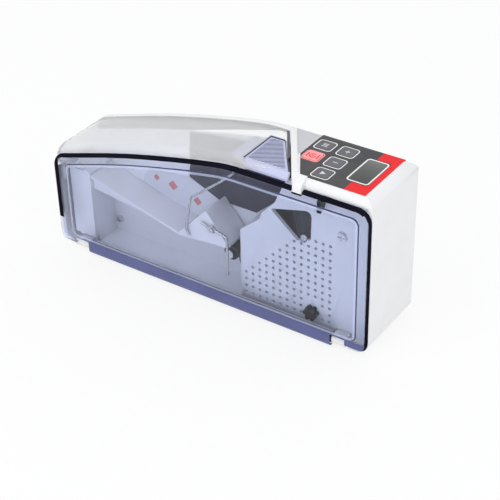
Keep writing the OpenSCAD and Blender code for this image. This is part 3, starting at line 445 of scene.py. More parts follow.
# dark paint for the shade on the sides of steps in the clear plastic
STEP_SHADE = moulded("step_edge_painted_shade", (0.06, 0.07, 0.15), 0.4, 3, 0.6, 0.1, shine=0.3)
BAND = moulded("smoked_band", (0.100, 0.114, 0.27), 0.3, 3, 0.6, 0.08, shine=0.35)
GRIP = moulded("grip_plastic", (0.53, 0.55, 0.75), 0.34, 4, 0.4, 0.05, shine=0.35)
# dark paint for the shade inside the grip's grooves
GROOVE_SHADE = moulded("grip_groove_painted_shade", (0.05, 0.055, 0.14), 0.5, 4, 0.4, 0.1, shine=0.3)
THROAT = moulded("throat_plastic", (0.062, 0.060, 0.084), 0.5, 12, 0.3, 0.1, shine=0.3)
ARM = moulded("arm_plastic", (0.036, 0.035, 0.048), 0.5, 12, 0.3, 0.1, shine=0.25)
BLACK = moulded("black_plastic", (0.013, 0.013, 0.016), 0.45, 14, 0.3, 0.25, shine=0.3)
DARK = moulded("dark_plastic", (0.05, 0.05, 0.058), 0.45, 14, 0.3, 0.15)
STEEL = metal("turned_steel", (0.62, 0.62, 0.63), 0.30, (1, 0.2, 1))
BRIGHT = metal("plated_screw", (0.72, 0.72, 0.74), 0.24, (1, 1, 1), 5)
WIRE = metal("spring_wire", (0.60, 0.59, 0.58), 0.26, (1, 1, 0.12), 6)
BRASS = metal("brass", (0.75, 0.56, 0.26), 0.30, (1, 0.2, 1))
CAN = metal("motor_can_steel", (0.55, 0.55, 0.57), 0.34, (1, 0.1, 1))
TYRE = rubber("tyre_rubber", (0.035, 0.036, 0.04))
FOOT = rubber("foot_rubber", (0.03, 0.03, 0.032), 0.8)
HUB = moulded("hub_plastic", (0.30, 0.31, 0.34), 0.5, 10, 0.3, 0.05)
GEAR = moulded("gear_nylon", (0.80, 0.78, 0.70), 0.38, 6, 0.4, 0.04, Subsurface_Weight=0.15,
               Subsurface_Scale=0.002)
PANEL = moulded("panel_film", (0.064, 0.064, 0.067), 0.5, 8, 0.12, 0.06, shine=0.25)
RED = moulded("red_print", (0.82, 0.018, 0.021), 0.5, 8, 0.12, 0.04, shine=0.2)
OUTLINE = moulded("white_print", (0.88, 0.88, 0.88), 0.5, 6, 0.15, 0.02)
KEY = moulded("grey_key", (0.125, 0.125, 0.14), 0.42, 10, 0.2, 0.12, shine=0.3)
KEY_MARK = moulded("key_print", (0.66, 0.66, 0.69), 0.45, 6, 0.2, 0.04)
KEY_RED = moulded("red_key", (0.95, 0.34, 0.35), 0.42, 10, 0.2, 0.05, shine=0.3)
KEY_RED_MARK = moulded("red_key_print", (0.80, 0.02, 0.035), 0.45, 6, 0.2, 0.05)
LENS = moulded("display_lens", (0.036, 0.042, 0.039), 0.12, 2, 1.2, 0.08, Coat_Weight=0.35,
               Coat_Roughness=0.08)
LABEL_RED = moulded("label_print", (0.70, 0.25, 0.27), 0.6, 5, 0.15, 0.1)
CORNER = moulded("corner_grey", (0.56, 0.56, 0.585), 0.45, 8, 0.2, 0.04)


def label_paper():
    f = Finish("label_paper", (0.78, 0.79, 0.83), 0.62)
    f.mottle(0.03, 0.5, stretch=(1, 1, 0.4))
    f.uneven(0.08, 3)
    f.bump(14, 0.12)
    return f.mat


def board_finish():
    """Solder mask over copper tracks that run along and across."""
    f = Finish("circuit_board", (0.02, 0.13, 0.05), 0.35, Coat_Weight=0.4, Coat_Roughness=0.15)
    tracks = f.node("ShaderNodeTexBrick")
    tracks.inputs["Scale"].default_value = 260
    tracks.inputs["Mortar Size"].default_value = 0.06
    f.link(f.coords.outputs["Object"], tracks.inputs["Vector"])
    f.link(f.mix(tracks.outputs["Fac"], (0.015, 0.11, 0.04), (0.05, 0.26, 0.09)),
           f.shader.inputs["Base Color"])
    f.uneven(0.08, 2)
    f.bump(18, 0.5, source=tracks.outputs["Fac"])
    return f.mat


def cell_wrap():
    """Shrink sleeve: copper-coloured over the last fifth of each cell, near black over the rest."""
    f = Finish("cell_wrap", (0.03, 0.03, 0.035), 0.24, Coat_Weight=0.4, Coat_Roughness=0.08)
    wave = f.node("ShaderNodeMath", operation="PINGPONG")
    wave.inputs[1].default_value = 0.025
    f.link(f.axis("X"), wave.inputs[0])
    band = f.spread(wave.outputs[0], 0, 1, 0.0185, 0.0187)
    f.link(f.mix(band, (0.035, 0.035, 0.04), (0.62, 0.36, 0.14)), f.shader.inputs["Base Color"])
    f.uneven(0.06, 4)
    f.bump(10, 3)
    return f.mat


PAPER = label_paper()
BOARD = board_finish()
CELL = cell_wrap()


def dress(finish, *nodes):
    """Gives carried-over nodes a finish in their own material slots."""
    for name in nodes:
        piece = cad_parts[name]
        if not piece.data.materials:
            piece.data.materials.append(finish)
        for i in range(len(piece.data.materials)):
            piece.data.materials[i] = finish


# ---- shared sizes, in millimetres

shell_low, shell_high = span("rear_shell")
X0, X1 = shell_low.x, shell_high.x
BACK = shell_high.y
TOP = span("top_lid")[1].z
BASE = shell_low.z
FACE = span("front_door")[0].y         # front of the door's window panel
SKIN = FACE + 0.6                      # front of the door round the panel
RIM_BACK = FACE + 3.5
SEAT = RIM_BACK + 0.4                  # front edge of the shell and the lid
WALL = 2.2
HINGE_Y, HINGE_Z = FACE + 4, BASE + 4.2     # axis of the door's hinge
RIM_DROP = 5                           # how far the door's edge lies below the body's top

ARCH = [(16, TOP, 60), (-6, 85.2, 400), (-45, 76.3, 400)]
LEFT_TOP = 61                          # height of the body's top at its left end


def body_line(d=0):
    """Outline of the body in X and Z, moved inwards by d."""
    return [(X0 + d, BASE + d, 8 - d), (X1 - d, BASE + d, 8 - d), (X1 - d, TOP - d, 7.5 - d),
            *[(x, z - d * 1.01, r) for x, z, r in ARCH], (X0 + d, LEFT_TOP - d * 0.92, 7.5 - d)]


def arch_height(x):
    """Height of the body's top at x."""
    line = [(X0, LEFT_TOP)] + [(a, z) for a, z, _ in ARCH[::-1]] + [(X1, TOP)]
    for (a, p), (b, q) in zip(line, line[1:]):
        if x <= b:
            return p + (q - p) * (x - a) / (b - a)
    return TOP


def rim_line():
    return [(X0, BASE + 0.2, 8), (X1, BASE + 0.2, 8), (X1, TOP - RIM_DROP, 7),
            *[(x, z - RIM_DROP, r) for x, z, r in ARCH], (X0, LEFT_TOP - RIM_DROP, 7.5)]


def window_line():
    return [(X0 + 9, 9.4, 4), (X1 - 5, 9.4, 4), (X1 - 5, TOP - 9.6, 4),
            *[(x, z - 9.8, r) for x, z, r in ARCH], (X0 + 9, 53.6, 4)]


# ---- smoked front door


def front_door():
    barrel = 3.2
    door = prism("smoked_door", rim_line(), "y", RIM_BACK, SKIN)
    round_off(door, lambda p, d: abs(p.y - SKIN) < 0.01, 2.2, 4)
    pick(door, "FACE", lambda p, n: n.y > 0.9)
    inset(1.6)
    draw_out((0, SKIN + 1.6 - RIM_BACK, 0))
    window = prism("window", window_line(), "y", SKIN + 0.3, FACE)
    round_off(window, lambda p, d: abs(p.y - FACE) < 0.01, 0.45, 2)
    pick(window, "FACE", lambda p, n: n.y < -0.99)
    inset(1.3)
    clear()
    for part in (door, window):
        for finish in (SMOKE, EDGE_SHADE, BAND, STRIPE, STEP_SHADE):
            part.data.materials.append(finish)
    clear_slot, rim_shade_slot, band_slot, stripe_slot, step_shade_slot = range(5)
    # the window's front border takes the stripe colour; its step sides are painted dark as shade
    face = max(window.data.polygons, key=lambda f: f.area if f.normal.y < -0.99 else 0)
    for f in window.data.polygons:
        if f.normal.y < -0.99 and f.index != face.index:
            f.material_index = stripe_slot
        elif abs(f.normal.y) < 0.98:
            f.material_index = step_shade_slot
    join(door, window)
    join(door, rod("barrel", "x", HINGE_Y, HINGE_Z, -75.4, 75.4, barrel, 36))
    cuts = [block("notch", (x, FACE - 1, -1), (x + 8.2, RIM_BACK + 1, HINGE_Z + 3.4))
            for x in (-83.6, 75.4)]
    cuts += [block("foot_cut", (x, FACE - 1, -1), (x + 13, RIM_BACK + 1, HINGE_Z + 0.2))
             for x in (X0 - 1, 83)]
    cuts += [rod("pin_bore", "x", HINGE_Y, HINGE_Z, x - 7, x + 7, 1.06, 24) for x in (-75.4, 75.4)]
    cuts.append(block("hook_notch", (53.5, FACE - 1, 81.9), (59.1, RIM_BACK + 1, 99)))
    cut(door, *cuts)
    side, notch_x = X0 + 4, 79.5       # inner edge of the rim's left side, middle of the hinge notches
    foot_z, rim_foot = 9.3, 19          # top of the band along the foot, lower end of the painted shade on the rim's left side
    pick(door, "FACE", lambda p, n: True)
    for height in (foot_z, rim_foot):
        slice_at((0, 0, height), (0, 0, 1))
    for x in (side, -notch_x, notch_x):
        slice_at((x, 0, 0), (1, 0, 0))
    clear()
    soften(door, 0.15, 1, 50)
    place(door, "door", "smoke_clear", None, "front_door")
    # Painted shade: the door's top, left side, right side and top corners are painted near-black where the
    # thick clear edges look dark; the lower front faces take the band colour.
    for f in door.data.polygons:
        c, n = f.center / MM, f.normal
        drop = arch_height(c.x) - RIM_DROP - c.z
        top = n.z > 0.25 and c.z > 45 and drop < 2.7
        left = c.x < side and c.z > rim_foot and n.y < 0.5
        right = n.x > 0.3 and c.x > X1 - 1.4 and c.y > SKIN + 0.6
        corner = c.z > 45 and drop < 6 and abs(n.y) < 0.8 and (n.x > 0.2 or n.x < -0.2) and abs(c.x) > 86
        reach = math.hypot(c.y - HINGE_Y, c.z - HINGE_Z)
        outward = (n.y < -0.15 or n.z < -0.2) and (reach > 3 or c.y < FACE + 1.2)
        if f.material_index == clear_slot:
            if top or left or right or corner:
                f.material_index = rim_shade_slot
            elif c.z < foot_z and c.x > -notch_x and outward:
                f.material_index = band_slot


front_door()
x_latch = centre_of("door_latch").x
latch = prism("latch_hook", [(SKIN + 1.6, 74.8, 0), (RIM_BACK + 2.2, 76.2, 0.6),
                             (RIM_BACK + 3.4, 78.6, 0.6), (RIM_BACK + 3.4, 80.4, 0.3),
                             (RIM_BACK + 2, 80, 0.3), (SKIN + 1.6, 81.4, 0)], "x", x_latch - 1.15,
              x_latch + 1.15)
place(soften(latch, 0.15), "door", "black_plastic", BLACK, "door_latch")

# ---- clear lid

RIB_X, LEAN, RIB_W = 53.8, 0.65, 3.6


def rib_at(y):
    return RIB_X - LEAN * (y - RIM_BACK)


def arch_path():
    """Line that the lid's section is carried along, from the foot of the left corner to past the rib."""
    piece = sheet_of("path", body_line(), "y", 0)
    clear()
    points = sorted({(round(v.co.x / MM, 3), round(v.co.z / MM, 3)) for v in piece.data.vertices
                     if v.co.z / MM > 50 and v.co.x / MM < 84})
    bpy.data.objects.remove(piece)
    return points + [(70, TOP)]


LID_BAND = 13.3, 14.1                  # painted grey shade line and start of the band of painted shade along the lid's back


def clear_lid():
    skirt, lip, back_r, front_r = 14, 5.2, 10, 4.4
    path = arch_path()
    start_x, start_z = path[0]
    lid = sheet_of("clear_lid", [(SEAT, start_z - lip, 0), (SEAT, start_z, front_r),
                                 (BACK, start_z, back_r), (BACK, start_z - skirt, 0)], "x", start_x)
    pick(lid, "FACE", lambda p, n: True)
    bpy.ops.mesh.delete(type="ONLY_FACE")
    pick(lid, "EDGE", lambda p, d: abs(d.y) > 0.3 and p.z < start_z - lip + 0.5 and abs(p.y) < 20)
    bpy.ops.mesh.delete(type="EDGE")
    take_all()
    for (a, b), (c, d) in zip(path, path[1:]):
        draw_out((c - a, 0, d - b))
    pick(lid, "EDGE", lambda p, d: abs(p.x - start_x) < 0.01)
    bpy.ops.mesh.edge_face_add()
    take_all()
    bpy.ops.mesh.remove_doubles(threshold=0.001 * MM)
    bpy.ops.mesh.normals_make_consistent(inside=False)
    # the back skirt's foot follows the slope of the top out to the left end
    slice_at((X0, 0, 47.2), (-0.293, 0, 0.957), clear_inner=True)
    edge = rib_at(0) - RIB_W / 2 - 0.4
    slice_at((edge, 0, 0), (1, LEAN, 0), clear_outer=True)
    slice_at((edge - 1.7, 0, 0), (1, LEAN, 0))
    for y in LID_BAND:
        slice_at((0, y, 0), (0, 1, 0))
    clear()
    use(lid, "SOLIDIFY", thickness=1.8 * MM, offset=-1, use_even_offset=True, use_rim=True)
    knuckle = rod("knuckle", "y", X0 + 2.4, 47, -14.5, 14.8, 2.3, 32)
    join(lid, knuckle)
    pad = prism("pad", [(22.8, -17.7, 1), (48.9, -17.7, 1), (32.2, 6, 1), (22.8, 6, 1)], "z", 85.8, 87.7)
    join(lid, pad)
    cut(lid, prism("recess", [(23.6, -18.5, 0.6), (48.4, -18.5, 0.6), (31.6, 5.2, 0.6), (23.6, 5.2, 0.6)],
                   "z", TOP - 1.6, TOP + 2))
    cut(lid, *[block("ear_slot", (X0 - 1, y - 0.4, 30), (X0 + 6, y + 6.4, 50.5))
               for y in (SEAT + 0.2, 15.6)], rod("pin_bore", "y", X0 + 2.4, 47, SEAT, BACK, 1.06, 24))
    soften(lid, 0.25, 2, 40)
    place(lid, "lid", "lid_clear", LID, "top_lid")
    lid.data.materials.append(LID_BACK_SHADE)
    lid.data.materials.append(LID_LINE_SHADE)
    lid.data.materials.append(LID_GAP_SHADOW)
    # Painted shade: the band and the grey line along the lid's back, and the dark strip beside the catch
    # rib for the shadow of the gap.
    for f in lid.data.polygons:
        x, y = f.center.x / MM, f.center.y / MM
        at_rib = x > rib_at(y) - RIB_W / 2 - 2.1 and y < LID_BAND[0]
        f.material_index = 3 if at_rib else 1 if y > LID_BAND[1] else 2 if y > LID_BAND[0] else 0


def thumb_grip():
    """Pad in the lid's recess with fine grooves square to the catch rib, painted dark inside as shade, a
    step painted dark as shadow and a front lip.
    """
    left, right, front, back, slant = 23.9, 48.0, -18.3, 4.6, 16.4
    outline = [(left, front, 0.4), (right, front, 0.4), (right - slant, back, 0.4), (left, back, 0.4)]
    pad = prism("grip_pad", outline, "z", TOP - 1.58, TOP - 0.55)
    field = prism("field", [(left + 1, front + 0.8, 0), (right - 1.8, front + 0.8, 0),
                            (right - slant - 0.6, back - 0.8, 0), (left + 1, back - 0.8, 0)], "z",
                  TOP - 0.8, TOP)
    pitch, turn = 1.22, math.radians(33)
    groove = block("groove", (-30, -0.26, TOP - 0.9), (40, 0.26, TOP))
    corner = Matrix.Translation((left * MM, (front - 12) * MM, 0))
    groove.data.transform(corner @ Matrix.Rotation(turn, 4, "Z"))
    use(groove, "ARRAY", count=32, use_relative_offset=False, use_constant_offset=True,
        constant_offset_displace=(-math.sin(turn) * pitch * MM, math.cos(turn) * pitch * MM, 0))
    common(groove, field)
    cut(pad, groove)
    place(smooth(pad, 20), "lid", "lid_clear", GRIP)
    pad.data.materials.append(GROOVE_SHADE)
    # the groove walls and floors are painted dark as shade
    for f in pad.data.polygons:
        c = f.center / MM
        if c.z < TOP - 0.56 and left + 0.5 < c.x and front + 0.4 < c.y < back - 0.4 and c.z > TOP - 1.5 \
                and c.x < right - 0.9 - (c.y - front) * slant / (back - front):
            f.material_index = 1
    # a dark strip along the pad's left and back edges: painted shadow of the step
    step = prism("grip_step_painted_shadow", [(left - 0.9, front - 0.1, 0), (left - 0.1, front - 0.1, 0),
                               (left - 0.1, back + 0.1, 0), (right - slant, back + 0.1, 0),
                               (right - slant - 0.5, back + 0.8, 0), (left - 0.9, back + 0.8, 0)], "z",
                 TOP - 1.55, TOP - 0.15)
    place(soften(step, 0.08, 1), "lid", "lid_clear", STEP_SHADE)
    lip = prism("grip_lip", [(front + 0.1, TOP - 2.4, 0), (front + 0.1, TOP - 0.7, 0.2),
                             (front - 0.9, TOP - 0.5, 0.4), (SEAT + 0.1, TOP - 3.2, 0.4),
                             (SEAT + 0.1, TOP - 4.7, 0.2), (SEAT + 0.9, TOP - 4.7, 0)], "x", 25, 49.2)
    place(soften(lip, 0.12), "lid", "lid_clear", GRIP)
    # a flat lilac slab under the clear lid: painted shade for the slope down into the grip's recess
    ramp = prism("grip_slope_painted_shade", [(15.4, -17.5, 0.3), (left - 1.3, -17.5, 0.3), (left - 1.3, 3, 0.3),
                               (15.4, 3, 0.3)], "z", TOP - 3, TOP - 1.95)
    place(soften(ramp, 0.2), "lid", "lid_clear", GRIP)


clear_lid()
thumb_grip()

# ---- white housing


def shell_solid(d, front):
    solid = prism("shell_body", body_line(d), "y", front, BACK - d)
    side = prism("side", [(front, BASE + d, 0), (BACK - d, BASE + d, 7 - d), (BACK - d, TOP - d, 10 - d),
                          (front, TOP - d, max(5 - d, 0.3))], "x", X0, X1)
    plan = prism("plan", [(X0 + d, front, 0), (X1 - d, front, 0), (X1 - d, BACK - d, 4 - d),
                          (X0 + d, BACK - d, 4 - d)], "z", 0, 91)
    return common(solid, side, plan)


def housing():
    shell = shell_solid(0, SEAT)
    cut(shell, shell_solid(WALL, SEAT + WALL))
    front = prism("front_cut", body_line(WALL), "y", SEAT - 1, SEAT + 9)
    cut(shell, common(front, block("below", (X0, SEAT - 1, 0), (X1, SEAT + 9, TOP - 5))))
    zone = prism("lid_zone", [(X0 - 1, 43.4, 0), (X0 + 6, 43.4, 0),
                              (X0 + 6, arch_height(X0 + 6) - 14.4, 0), (-45, 61.9, 0), (-6, 70.8, 0),
                              (16, TOP - 14.4, 0), (70, TOP - 14.4, 0), (70, 99, 0), (X0 - 1, 99, 0)],
                 "y", SEAT - 1, BACK + 1)
    plan = prism("zone_plan", [(X0 - 2, SEAT - 2, 0), (rib_at(SEAT - 2) - RIB_W / 2, SEAT - 2, 0),
                               (rib_at(BACK + 2) - RIB_W / 2, BACK + 2, 0), (X0 - 2, BACK + 2, 0)], "z",
                 20, 100)
    cut(shell, common(zone, plan))
    sweep = HINGE_Y + 4.8              # back of the space that the barrel turns in
    cut(shell, block("door_foot", (X0 + 11.4, SEAT - 1, -1), (X1 - 11.4, sweep, HINGE_Z + 1.2)),
        block("corner_foot", (X0 - 1, SEAT - 1, -1), (X1 + 1, HINGE_Y + 0.5, HINGE_Z - 0.2)))
    for x in (-83.2, 75.8):
        ear = prism("door_ear", [(HINGE_Y - 2.6, HINGE_Z - 2.6, 2.5), (sweep + 1, HINGE_Z - 2.6, 0),
                                 (sweep + 1, HINGE_Z + 2.6, 0), (HINGE_Y - 2.6, HINGE_Z + 2.6, 2.5)], "x",
                    x, x + 7.4)
        join(shell, ear)
    for y in (SEAT + 0.2, 15.6):
        join(shell, prism("lid_ear", [(X0 + 0.1, 41.4, 0), (X0 + 4.7, 41.4, 0), (X0 + 4.7, 49.3, 2.2),
                                      (X0 + 0.1, 49.3, 2.2)], "y", y, y + 6))
    half = RIB_W / 2
    rib = prism("rib", [(rib_at(SEAT + 4) - half, SEAT + 4, 0), (rib_at(SEAT + 4) + half, SEAT + 4, 0),
                        (rib_at(BACK - 9) + half, BACK - 9, 0), (rib_at(BACK - 9) - half, BACK - 9, 0)],
                "z", TOP - 0.5, TOP + 0.8)
    hook_z = TOP - 6.9
    hook = prism("hook", [(FACE + 0.9, hook_z, 0.5), (SEAT - 0.1, hook_z, 0.2), (SEAT - 0.1, TOP - 5, 0),
                          (SEAT + 3, TOP - 1.4, 0), (SEAT + 5.6, TOP, 0), (SEAT + 5.2, TOP + 0.8, 0.4),
                          (SEAT + 1.6, TOP - 0.1, 2), (FACE + 0.9, TOP - 2.8, 2)], "x", 53.9, 58.7)
    join(shell, rib, hook)
    panel_low, panel_high = span("key_panel")
    recess = prism("recess", panel_line(panel_low, panel_high), "z", panel_low.z, 95)
    cut(shell, recess)
    for key in KEYS:
        low, high = span(key)
        cut(shell, slab("key_hole", low.x + 0.3, low.y + 0.3, high.x - 0.3, high.y - 0.3, 1.5, 84, 95))
    low, high = span("display_lens")
    cut(shell, slab("window_hole", low.x, low.y, high.x, high.y, 1.2, 84, 95))
    low, high = span("battery_cover")
    cut(shell, block("bay", (low.x + 1.6, 20.6, 6.1), (high.x - 1.6, BACK + 1, high.z + 0.4)))
    jack, switch = centre_of("dc_jack"), centre_of("power_switch")
    cut(shell, rod("jack_hole", "y", jack.x, jack.z, 20, 27, 4.6),
        block("switch_hole", (switch.x - 4, 20, switch.z - 1.8), (switch.x + 4, 27, switch.z + 1.8)))
    for x, z in CASE_SCREWS:
        cut(shell, rod("screw_hole", "y", x, z, 20, 27, 1.3, 24),
            rod("screw_seat", "y", x, z, BACK - 1.2, 27, 2.8, 32))
    for x in (-78, 78):
        for y in (-9.2, 13):
            cut(shell, rod("foot_seat", "z", x, y, -1, 1.6, 4.1, 32))
    join(shell, rod("boss", "y", 77.5, 62.3, -15, BACK - WALL + 0.4, 3.2, 32))
    soften(shell, 0.3, 2, 40)
    return place(shell, "base", "housing_white", WHITE, "rear_shell")


CASE_SCREWS = (25, 57), (73, 46), (49, 11.4)
KEYS = ["key_start", "key_restart", "key_mode", "key_plus", "key_minus"]


def box_line(x, y, x2, y2, r):
    return [(x, y, r), (x2, y, r), (x2, y2, r), (x, y2, r)]


def slab(name, x, y, x2, y2, r, z, z2):
    """Upright block with rounded corners."""
    return prism(name, box_line(x, y, x2, y2, r), "z", z, z2)


def panel_line(low, high):
    return [(low.x, high.y, 0.3), (low.x, low.y + 16.8, 0.3), (low.x + 10.4, low.y, 0.3),
            (high.x, low.y, 0.3), (high.x, high.y, 0.3)]


housing()


def grey_corner():
    """Grey triangle between the catch rib and the key panel, a thin sheet on the shell's top."""
    low, high = span("key_panel")
    side = RIB_W / 2 + 0.3
    foot = RIM_BACK + (RIB_X + side - low.x) / LEAN
    film = prism("grey_corner", [(rib_at(high.y) + side, high.y, 0), (low.x - 0.15, foot, 0),
                                 (low.x - 0.15, high.y, 0)], "z", TOP - 1.8, TOP + 1)
    place(smooth(common(film, shell_solid(-0.03, SEAT))), "base", "panel_film", CORNER)


grey_corner()

# ---- key panel


def ring_line(name, x, y, x2, y2, r, width, z, z2):
    return cut(slab(name, x, y, x2, y2, r, z, z2), slab(
        "inside", x + width, y + width, x2 - width, y2 - width, r - width * 0.8, z - 1, z2 + 1))


def key_panel():
    low, high = span("key_panel")
    lens_low, lens_high = span("display_lens")
    panel = prism("key_surround", panel_line(low, high), "z", low.z, high.z)
    red = prism("red_corner", [(high.x, low.y, 0.3), (high.x, high.y, 0.3), (high.x - 11.5, high.y, 0.3),
                               (high.x - 11.5, lens_high.y + 1.4, 0.3),
                               (lens_high.x + 1.0, lens_high.y + 1.4, 1.4),
                               (lens_high.x + 1.0, lens_low.y - 1.4, 1.4),
                               (high.x - 11.5, lens_low.y - 1.4, 0.3), (high.x - 11.5, low.y, 0.3)], "z",
                high.z - 0.02, high.z + 0.05)
    holes = []
    for key in KEYS:
        k_low, k_high = span(key)
        x, y, x2, y2 = k_low.x, k_low.y, k_high.x, k_high.y
        holes.append(slab("hole", x + 0.3, y + 0.3, x2 - 0.3, y2 - 0.3, 1.5, 80, 95))
        outline = ring_line(key + "_outline", x - 0.2, y - 0.2, x2 + 0.2, y2 + 0.2, 1.9, 0.55,
                            high.z - 0.02, high.z + 0.05)
        place(soften(outline, 0.02, 1), "base", "panel_film", OUTLINE if key != "key_restart" else KEY_RED)
    holes.append(slab("hole", lens_low.x, lens_low.y, lens_high.x, lens_high.y, 1.2, 80, 95))
    cut(panel, *holes)
    place(soften(panel, 0.12), "base", "panel_film", PANEL, "key_panel")
    place(soften(red, 0.02, 1), "base", "panel_film", RED)
    lens = slab("display_window", lens_low.x + 0.05, lens_low.y + 0.05, lens_high.x - 0.05,
                lens_high.y - 0.05, 1.2, lens_low.z, lens_high.z)
    place(soften(lens, 0.15), "base", "lens_plastic", LENS, "display_lens")
    frame_ring = ring_line("window_outline", lens_low.x - 0.7, lens_low.y - 0.7, lens_high.x + 0.7,
                           lens_high.y + 0.7, 1.9, 0.75, high.z - 0.02, high.z + 0.06)
    place(soften(frame_ring, 0.02, 1), "base", "panel_film", OUTLINE)


def bars(*boxes):
    """Makers of bars, each given by where its middle is from the key's, its width and its length."""
    return [lambda cx, cy, z, dx=dx, dy=dy, w=w, l=l: slab(
        "mark", cx + dx - w / 2, cy + dy - l / 2, cx + dx + w / 2, cy + dy + l / 2, 0.2, z - 0.05, z + 0.03)
        for dx, dy, w, l in boxes]


def key(node, body, marks, finish, mark_finish):
    """Cap with a shallow dished top, a flange under the panel and a plain symbol."""
    low, high = span(node)
    x, y, x2, y2 = low.x + 0.6, low.y + 0.6, high.x - 0.6, high.y - 0.6
    cap = slab(node + "_cap", x, y, x2, y2, 1.2, low.z + 0.6, high.z)
    pick(cap, "FACE", lambda p, n: n.z > 0.9)
    inset(0.8)
    bpy.ops.transform.translate(value=(0, 0, -0.12 * MM))
    clear()
    join(cap, slab("flange", low.x, low.y, high.x, high.y, 1.2, low.z, low.z + 0.7))
    slot = "key_red" if "restart" in node else "key_grey"
    place(soften(cap, 0.18, 3), body, slot, finish, node)
    cx, cy, z = (x + x2) / 2, (y + y2) / 2, high.z - 0.12
    made = together(node + "_mark", [m(cx, cy, z) for m in marks])
    place(smooth(made), body, slot, mark_finish)


def play(cx, cy, z):
    return prism("mark", [(cx - 1.1, cy - 1.5, 0.1), (cx + 1.7, cy, 0.1), (cx - 1.1, cy + 1.5, 0.1)], "z",
                 z - 0.05, z + 0.03)


def return_ring(cx, cy, z):
    ring = rod("mark", "z", cx, cy, z - 0.05, z + 0.03, 1.9, 32)
    return cut(ring, rod("inner", "z", cx, cy, z - 1, z + 1, 1.2, 32),
               block("gap", (cx, cy - 0.1, z - 1), (cx + 3, cy + 1.3, z + 1)))


key_panel()
ACROSS = (0, 0, 2.6, 0.5)
key("key_start", "start_key", [play], KEY, KEY_MARK)
key("key_restart", "restart_key", [return_ring, *bars((0, 0, 0.9, 0.9), (-2.8, 0, 0.8, 3.6),
                                                      (2.8, 0, 0.8, 3.6))], KEY_RED, KEY_RED_MARK)
key("key_mode", "mode_key", bars((0, 1.1, 3.2, 0.5), ACROSS, (0, -1.1, 3.2, 0.5)), KEY, KEY_MARK)
key("key_plus", "plus_key", bars(ACROSS, (0, 0.9, 0.5, 1.1), (0, -0.9, 0.5, 1.1)), KEY, KEY_MARK)
key("key_minus", "minus_key", bars(ACROSS), KEY, KEY_MARK)

# ---- note tray

TRAY_Y, WALL_Y = RIM_BACK + 3.5, 0.0
FLOOR = BASE + WALL


def tray():
    wall = prism("tray_back", [(X0 + WALL, FLOOR, 5), (21.9, FLOOR, 0), (21.9, 46, 0), (31.9, 54, 0),
                               (43.4, 68, 0), (43.4, TOP - WALL, 0),
                               *[(x, z - WALL, r) for x, z, r in ARCH], (X0 + WALL, 58.9, 5)], "y",
                 WALL_Y, WALL_Y + 1.6)
    cut(wall, block("left_top", (X0 - 1, -2, 41.9), (X0 + 7, 4, 99)),
        block("grip_gap", (22, -2, 85.4), (99, 4, 99)))
    floor = block("tray_floor", (X0 + 13, -14.9, FLOOR), (18.9, 1.6, FLOOR + 1.4))
    join(wall, floor)
    cut(wall, rod("screw_hole", "y", -72, 11.6, -2, 4, 1.2, 24))
    place(soften(wall, 0.2), "base", "tray_white", TRAY_PAINTED_LIGHT, "tray_wall")

    end = prism("end_stop", [(-88.5, 4.5, 1), (-75, 4.5, 0), (-75, 50, 3), (-88.5, 50, 3)], "y", TRAY_Y,
                WALL_Y)
    pick(end, "FACE", lambda p, n: n.y > 0.9)
    inset(1.6)
    draw_out((0, -16, 0))
    clear()
    cut(end, block("foot_gap", (-90, TRAY_Y - 1, -1), (-74, FACE + 10.1, BASE + 7.3)))
    place(soften(end, 0.35, 3), "base", "housing_white", TRAY_PAINTED_LIGHT, "end_block")

    drop = 1.6 / math.cos(math.radians(15))
    plate = prism("hopper_ramp", [(-74.8, 47, 0), (-74.8, 47 - drop, 0), (-18.7, 31.6 - drop, 0),
                                  (-18.7, 31.6, 0)], "y", TRAY_Y, WALL_Y)
    slope = (47 - 31.6) / (74.8 - 18.4)
    ribs = [prism("rib", [(-74.8, 47 - drop, 0), (-74.8, 40 - drop, 0),
                          (-26.4, 31.6 + 8 * slope - drop + 0.1, 0)], "y", y, y + 1.6)
            for y in (TRAY_Y + 2, WALL_Y - 3.2)]
    join(plate, *ribs)
    place(soften(plate, 0.25), "base", "tray_white", TRAY_PAINTED_LIGHT, "hopper_plate")

    wedge = prism("note_divider", [(-18.4, 30, 0.3), (12.4, 32.4, 0.3), (12.4, 34, 0.3), (-0.5, 50.5, 1),
                                   (-18.4, 31.6, 0.3)], "y", TRAY_Y, WALL_Y - 1)
    hollow = prism("hollow", [(-15, 31.8, 0.3), (9.2, 34.2, 0.3), (-0.5, 47.3, 1)], "y", TRAY_Y + 1.6, 2)
    cut(wedge, hollow)
    place(soften(wedge, 0.3, 3), "base", "housing_white", TRAY_PAINTED_LIGHT, "wedge_guide")

    throat = prism("throat_liner", [(-21, 82.4 - 2.6, 0), (-22.5, 54.4, 0), (-4.2, 46.5, 0),
                                    (18.4, 46.5, 0), (29.4, 56.4, 0), (30.4, 60.3, 0), (37.7, 68.6, 0),
                                    (40.4, 72, 0), (40.4, 85.2, 0), (22, 85.2, 0), (16, 85.2, 0),
                                    (-6, 81.9, 0)], "y", WALL_Y - 1, WALL_Y)
    ridges = [block("ridge", (x, WALL_Y - 1.25, 60), (x + 0.8, WALL_Y - 0.9, 78)) for x in (-14, -6, 2, 10)]
    join(throat, *ridges)
    place(soften(throat, 0.15), "base", "throat_grey", THROAT, "throat_panel")


